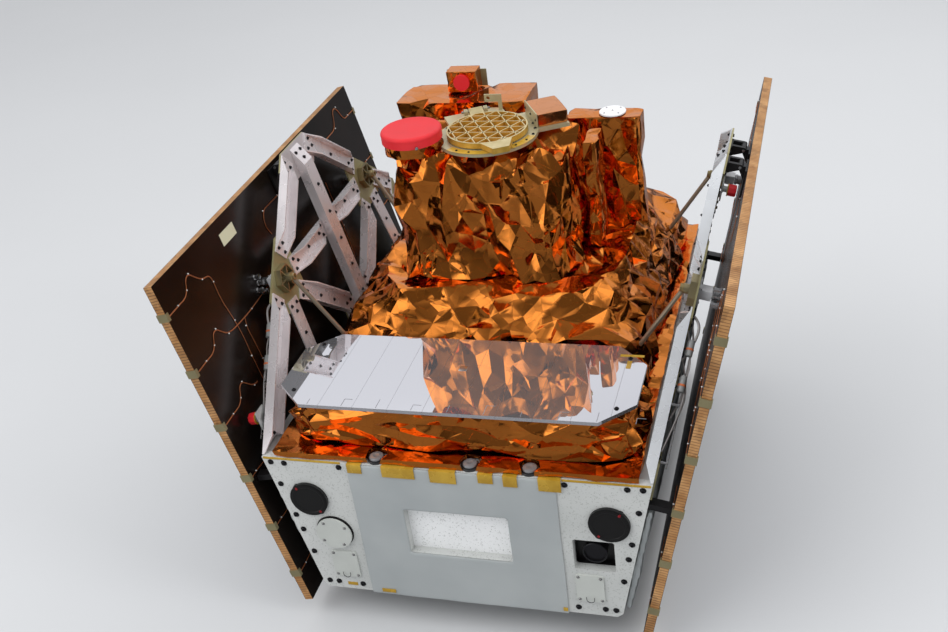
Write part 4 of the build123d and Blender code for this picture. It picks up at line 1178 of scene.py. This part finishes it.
# Nodes of each side frame, in metres: place along the body and rise above the deck's edge
foot_rise, peak_along, knee_half = 0.002, 0.092, 0.017
frame_points = {
    "front_foot": (-0.499, foot_rise), "front_knee_foot": (-0.200, foot_rise),
    "front_middle_foot": (0.074, foot_rise),
    "middle_foot": (peak_along, foot_rise), "rear_middle_foot": (0.110, foot_rise),
    "rear_knee_foot": (0.406, foot_rise),
    "rear_foot": (0.499, foot_rise), "rear_corner": (0.499, 0.138),
    "centre": (peak_along, knee_rise), "peak": (peak_along, 0.484),
    "front_knee": (front_knee, knee_rise), "front_knee_top": (front_knee, knee_rise + knee_half),
    "front_knee_low": (front_knee, knee_rise - knee_half),
    "rear_knee": (rear_knee, knee_rise), "rear_knee_top": (rear_knee, knee_rise + knee_half),
    "rear_knee_low": (rear_knee, knee_rise - knee_half),
}
bolted_members = (
    # from, to, how far from each node its first bolts stand
    ("front_foot", "front_knee_top", 0.028, 0.073), ("front_middle_foot", "front_knee_low", 0.047, 0.071),
    ("rear_middle_foot", "rear_knee_low", 0.047, 0.071), ("rear_corner", "rear_knee_top", 0.027, 0.073),
    ("front_knee", "centre", 0.069, 0.039), ("rear_knee", "centre", 0.069, 0.039),
    ("front_knee_top", "peak", 0.055, 0.084), ("rear_knee_top", "peak", 0.055, 0.084),
    ("front_knee_foot", "front_knee", 0.020, 0.068), ("rear_knee_foot", "rear_knee", 0.020, 0.068),
    ("middle_foot", "peak", 0.024, 0.046),
)


class SATELLITE_OT_frames(bpy.types.Operator):
    """Bolts, nuts and fittings of the side frames"""

    bl_idname = "satellite.frames"
    bl_label = "Side frames"

    def execute(self, context):
        settings = context.scene.satellite_fittings
        for name, side in sides:
            finder = seat_finder(name + "_frame", name + "_gussets", "knee_fittings")
            outward = side_point(side, 0, 0, 1) - side_point(side, 0, 0, 0)

            def seat(along, rise, out, direction):
                point, normal, face, reach = finder.ray_cast(
                    side_point(side, along, rise, out), direction, 0.08
                )
                return None if point is None else aim(point, normal)

            spots = []
            for start, end, first, last in bolted_members:
                start_spot, end_spot = Vector(frame_points[start]), Vector(frame_points[end])
                length = (end_spot - start_spot).length
                run = (end_spot - start_spot) / length
                across = Vector((-run.y, run.x))
                for shift in (-0.013, 0.013):
                    spots.append(start_spot + run * first + across * shift)
                    spots.append(end_spot - run * last + across * shift)
                row = length - first - last - 0.036
                steps = max(1, round(row / 0.075))
                spots += [
                    start_spot + run * (first + 0.018 + row * step / steps) for step in range(steps + 1)
                ]
            inner = [seat(spot.x, spot.y, -0.05, outward) for spot in spots]
            outer = [seat(spot.x, spot.y, 0.03, -outward) for spot in spots]
            fasten(cap_screw(settings.bolt_radius), outer, name + "_frame_heads", "dark_steel")
            fasten(hex_nut(0.0034), inner, name + "_frame_nuts", "dark_steel")
            rings = []
            for along in (front_knee, rear_knee):
                for dy, du in round_about(0.021, even_turns(6, pi / 6)):
                    rings.append(seat(along + dy, knee_rise + du, -0.05, outward))
            fasten(hex_nut(0.0028), rings, name + "_fitting_nuts", "dark_steel")
            hubs = [side_matrix(side, along, knee_rise, -0.0255, True) for along in (front_knee, rear_knee)]
            hub = turned(
                "hub", ((10.5, 0), (10.5, 3), (8.5, 4), (8.5, 8), (7.5, 9), (4.8, 9), (4.6, 4)), 24
            )
            fasten(hub, hubs, name + "_fitting_hubs", "fitting_gold")

            corners = [
                side_matrix(side, along + dy, knee_rise + du, 0.0083)
                for along in (front_knee, rear_knee)
                for dy in (-0.0175, 0.0175)
                for du in (-0.0165, 0.0165)
            ]
            fasten(cap_screw(0.0026), corners, name + "_hold_down_screws", "silver")

            post = turned("post", ((9.5, 0), (9.5, 4), (6.5, 5), (6.5, 12), (11, 13), (11, 13.5)), 20)
            cover = turned("cover", ((12.5, 0), (13.6, 1), (13.6, 16), (12.4, 18), (8, 18.8)), 8)
            along, rise = (0.015, 0.382) if side > 0 else (-0.470, 0.054)
            place = side_matrix(side, along, rise, 0.0043)
            plate = block("plate", (-0.018, -0.022, 0), (0.018, 0.022, 0.0035), 0.0008)
            base = join([plate, post], "post")
            fasten(base, [place], name + "_port_base", "panel_skin")
            fasten(
                cover, [place @ Matrix.Translation((0, 0, 0.0135))], name + "_port_cover", "red_plastic",
            )
            start_spot = Vector(frame_points["front_foot"])
            member = (Vector(frame_points["front_knee_top"]) - start_spot).normalized()

            def beside(reach, across, out):
                spot = start_spot + member * reach + Vector((-member.y, member.x)) * across
                return side_point(side, spot.x, spot.y, out)

            lines = (
                # radius, then points along the front member: reach from its foot, across it, and outwards
                (0.0028, (0.335, 0.006, 0.002), (0.322, 0.010, 0.018), (0.300, 0.004, 0.024),
                 (0.262, 0.000, 0.014), (0.235, -0.004, 0.002)),
                (0.0022, (0.330, -0.010, 0.002), (0.290, -0.012, 0.019), (0.230, -0.008, 0.016),
                 (0.160, -0.012, 0.022), (0.110, -0.006, 0.002)),
                (0.0016, (0.300, -0.004, 0.002), (0.240, 0.004, 0.022), (0.190, 0.000, 0.017),
                 (0.140, 0.004, 0.024), (0.040, 0.016, 0.002)),
                (0.0016, (0.245, -0.012, 0.002), (0.180, -0.004, 0.027), (0.120, -0.008, 0.020),
                 (0.045, -0.016, 0.002)),
            )
            harness = [
                wire("line", [beside(*point) for point in points], radius, 3) for radius, *points in lines
            ]
            set_down(join(harness, name + "_frame_harness"), "bus", "braid", 60)
            can = turned("can", ((6.6, 0), (7.8, 1.2), (7.8, 30), (6.6, 31.5), (6.6, 34), (5, 35)), 24)
            cans = [
                aim(beside(reach, 0.006, 0.0125), beside(1, 0, 0) - beside(0, 0, 0))
                for reach in (0.245, 0.168)
            ]
            fasten(can, cans, name + "_frame_filters", "panel_skin")
            ring = turned("ring", ((8.2, 0), (8.5, 0.4), (8.5, 4.2), (8.2, 4.6)), 20)
            rings = [place @ Matrix.Translation((0, 0, 0.012)) for place in cans]
            fasten(ring, rings, name + "_filter_bands", "orange_band")
            rods = []
            for shift in (-0.0055, 0.0055):
                rods.append(((0.012, shift, 0.018), (0.152, shift, 0.018), 0.0011, 2))
                for reach in (0.022, 0.142):
                    rods.append(((reach, shift, 0.0), (reach, shift, 0.018), 0.0016, 2))
            for step in range(17):
                reach = 0.018 + 0.008 * step
                rods.append(((reach, -0.0055, 0.018), (reach, 0.0055, 0.018), 0.0013, 1))
            parts = [
                wire("rod", [beside(*start), beside(*end)], radius, count, False)
                for start, end, radius, count in rods
            ]
            set_down(join(parts, name + "_frame_ladder"), "bus", "silver", 60)
            tape = turned("tape", ((13, 0), (14.8, 0.1), (14.8, 1.8), (13, 1.9)), 8)
            fasten(
                tape, [place @ Matrix.Translation((0, 0, 0.0128))], name + "_port_tape", "amber_tape",
            )
        return {"FINISHED"}


# A wing's wires on its inner face: place along the body and rise above the deck's edge
wing_wires = metres((
    ((-539, 367), (-501, 368), (-471, 367), (-454, 377), (-442, 398), (-426, 401), (-413, 387),
     (-391, 367), (-364, 363), (-360, 343), (-364, 302), (-352, 239), (-349, 189), (-353, 145),
     (-352, 71)),
    ((-539, 229), (-501, 230), (-471, 229), (-454, 239), (-442, 260), (-426, 263), (-413, 249),
     (-391, 229), (-336, 225), (-277, 223), (-177, 228)),
    ((-313, 226), (-324, 207), (-321, 163), (-320, 116), (-324, 87)),
    ((-539, 91), (-501, 92), (-471, 91), (-454, 101), (-442, 122), (-426, 125), (-413, 111),
     (-391, 91), (-375, 91)),
    ((-541, -50), (-520, -49), (-490, -52), (-456, -55)),
    ((-541, -186), (-516, -186), (-489, -190), (-470, -184)),
    ((-541, -324), (-512, -325), (-480, -322)),
    ((538, 371), (501, 372), (472, 371), (453, 415), (428, 417), (408, 372), (360, 371),
     (314, 371), (180, 369), (60, 368), (12, 368)),
    ((60, 367), (12, 368), (-45, 370), (-73, 369), (-92, 334), (-78, 311)),
    ((248, 288), (250, 160), (240, 70)),
    ((539, 232), (506, 233), (470, 231)),
    ((541, 94), (500, 92), (460, 96)),
    ((541, -44), (506, -46), (470, -44)),
))


class SATELLITE_OT_wings(bpy.types.Operator):
    """Cells, wires, ties and fittings of the wings"""

    bl_idname = "satellite.wings"
    bl_label = "Wings"

    def execute(self, context):
        settings = context.scene.satellite_fittings
        wing_foot = wing_top_rise - wing_length
        for name, side in sides:
            body = name + "_wing"
            cell = block("cell", (0, 0, -0.0002), (0.0392, 0.0785, 0.0004), 0)
            with editing("DESELECT"):
                pass
            for edge in cell.data.edges:
                first, second = (cell.data.vertices[index].co for index in edge.vertices)
                edge.select = abs(first.z - second.z) > 0.0001
            bpy.ops.object.mode_set(mode="EDIT")
            bpy.ops.mesh.select_mode(type="EDGE")
            bpy.ops.mesh.bevel(offset=0.005, segments=1)
            bpy.ops.object.mode_set(mode="OBJECT")
            for count, pitch in ((26, (0.0405, 0, 0)), (10, (0, 0.0800, 0))):
                offset = {
                    "use_relative_offset": False, "use_constant_offset": True,
                    "constant_offset_displace": pitch,
                }
                modify(cell, "ARRAY", count=count, **offset)
            corner = side_matrix(side, 0, wing_foot + 0.0205, wing_gap + wing_thickness)
            cell.matrix_world = corner @ Matrix.Translation((-0.5264, 0, 0))
            cell.name = name + "_wing_cells"
            set_down(cell, body, "solar_cell", None)

            wires, ties = [], []
            for route in wing_wires:
                points = [side_point(side, along, rise, wing_gap - 0.0016) for along, rise in route]
                wires.append(wire("wire", points, settings.wire_radius, 2))
                pair = [side_point(side, along, rise - 0.0016, wing_gap - 0.0014) for along, rise in route]
                wires.append(wire("wire", pair, settings.wire_radius * 0.86, 2))
                ties += [Matrix.Translation(point) for point in points[1:-1:2]]
            set_down(join(wires, name + "_wing_wires"), body, "copper_wire", 60)
            bead = turned("bead", ((0.8, -1.6), (1.6, -1), (1.8, 0), (1.6, 1), (0.8, 1.6)), 10)
            fasten(bead, ties, name + "_wire_ties", "white_nylon", body, angle=60)

            places = [
                side_matrix(side, along, knee_rise, wing_gap + wing_thickness)
                for along in (front_knee, rear_knee)
            ]
            fasten(hex_nut(0.0085), places, name + "_release_nuts", "silver", body)
            catch = turned(
                "catch", ((7.5, 0), (7.5, 2.5), (5, 3), (5, 11), (6.6, 11.5), (6.6, 15), (4, 16)), 6
            )
            spots = [
                (front_knee + dy, knee_rise + du)
                for dy, du in ((-0.026, 0.012), (-0.026, -0.012), (-0.040, 0.0), (-0.030, 0.030))
            ]
            places = [side_matrix(side, *spot, wing_gap, True) for spot in spots]
            fasten(catch, places, name + "_wing_catches", "silver", body)
            cups = [
                side_matrix(side, along, knee_rise, wing_gap - 0.0155, True)
                for along in (front_knee, rear_knee)
            ]
            collar = turned("collar", ((11.2, -6), (12.6, -5), (12.6, -1), (11.2, 0)), 24)
            fasten(collar, cups, name + "_cup_collars", "silver", body)
        low_y, high_y, low_u, high_u = -0.268, -0.203, 0.380, 0.409
        label = block("label", (low_y, low_u, 0), (high_y, high_u, 0.0004), 0)
        label.matrix_world = side_matrix(-1, 0, 0, wing_gap) @ Matrix.Rotation(pi, 4, "Y")
        label.name = "wing_label"
        set_down(label, "left_wing", "cream_label", None)
        return {"FINISHED"}


groups = {
    "satellite_stage": SatelliteStage,
    "satellite_foil": SatelliteFoil,
    "satellite_fittings": SatelliteFittings,
}
operators = (
    SATELLITE_OT_stage,
    SATELLITE_OT_finishes,
    SATELLITE_OT_foil,
    SATELLITE_OT_blankets,
    SATELLITE_OT_faces,
    SATELLITE_OT_mirror,
    SATELLITE_OT_top,
    SATELLITE_OT_frames,
    SATELLITE_OT_wings,
)


class SATELLITE_PT_panel(bpy.types.Panel):
    """Buttons for each step of the satellite"""

    bl_idname = "SATELLITE_PT_panel"
    bl_label = "Satellite"
    bl_space_type = "VIEW_3D"
    bl_region_type = "UI"
    bl_category = "Satellite"

    def draw(self, context):
        for operator in operators:
            self.layout.operator(operator.bl_idname)
        for name, group in groups.items():
            for setting in group.__annotations__:
                self.layout.prop(getattr(context.scene, name), setting)


def register():
    for item in (*groups.values(), *operators, SATELLITE_PT_panel):
        bpy.utils.register_class(item)
    for name, group in groups.items():
        setattr(bpy.types.Scene, name, PointerProperty(type=group))


def unregister():
    for name in groups:
        delattr(bpy.types.Scene, name)
    for item in (SATELLITE_PT_panel, *reversed(operators), *reversed(groups.values())):
        bpy.utils.unregister_class(item)


def main():
    register()
    bpy.ops.satellite.stage()
    bpy.ops.satellite.finishes()
    bpy.ops.satellite.foil()
    bpy.ops.satellite.blankets()
    bpy.ops.satellite.faces()
    bpy.ops.satellite.mirror()
    bpy.ops.satellite.top()
    bpy.ops.satellite.frames()
    bpy.ops.satellite.wings()


if __name__ == "__main__":
    main()
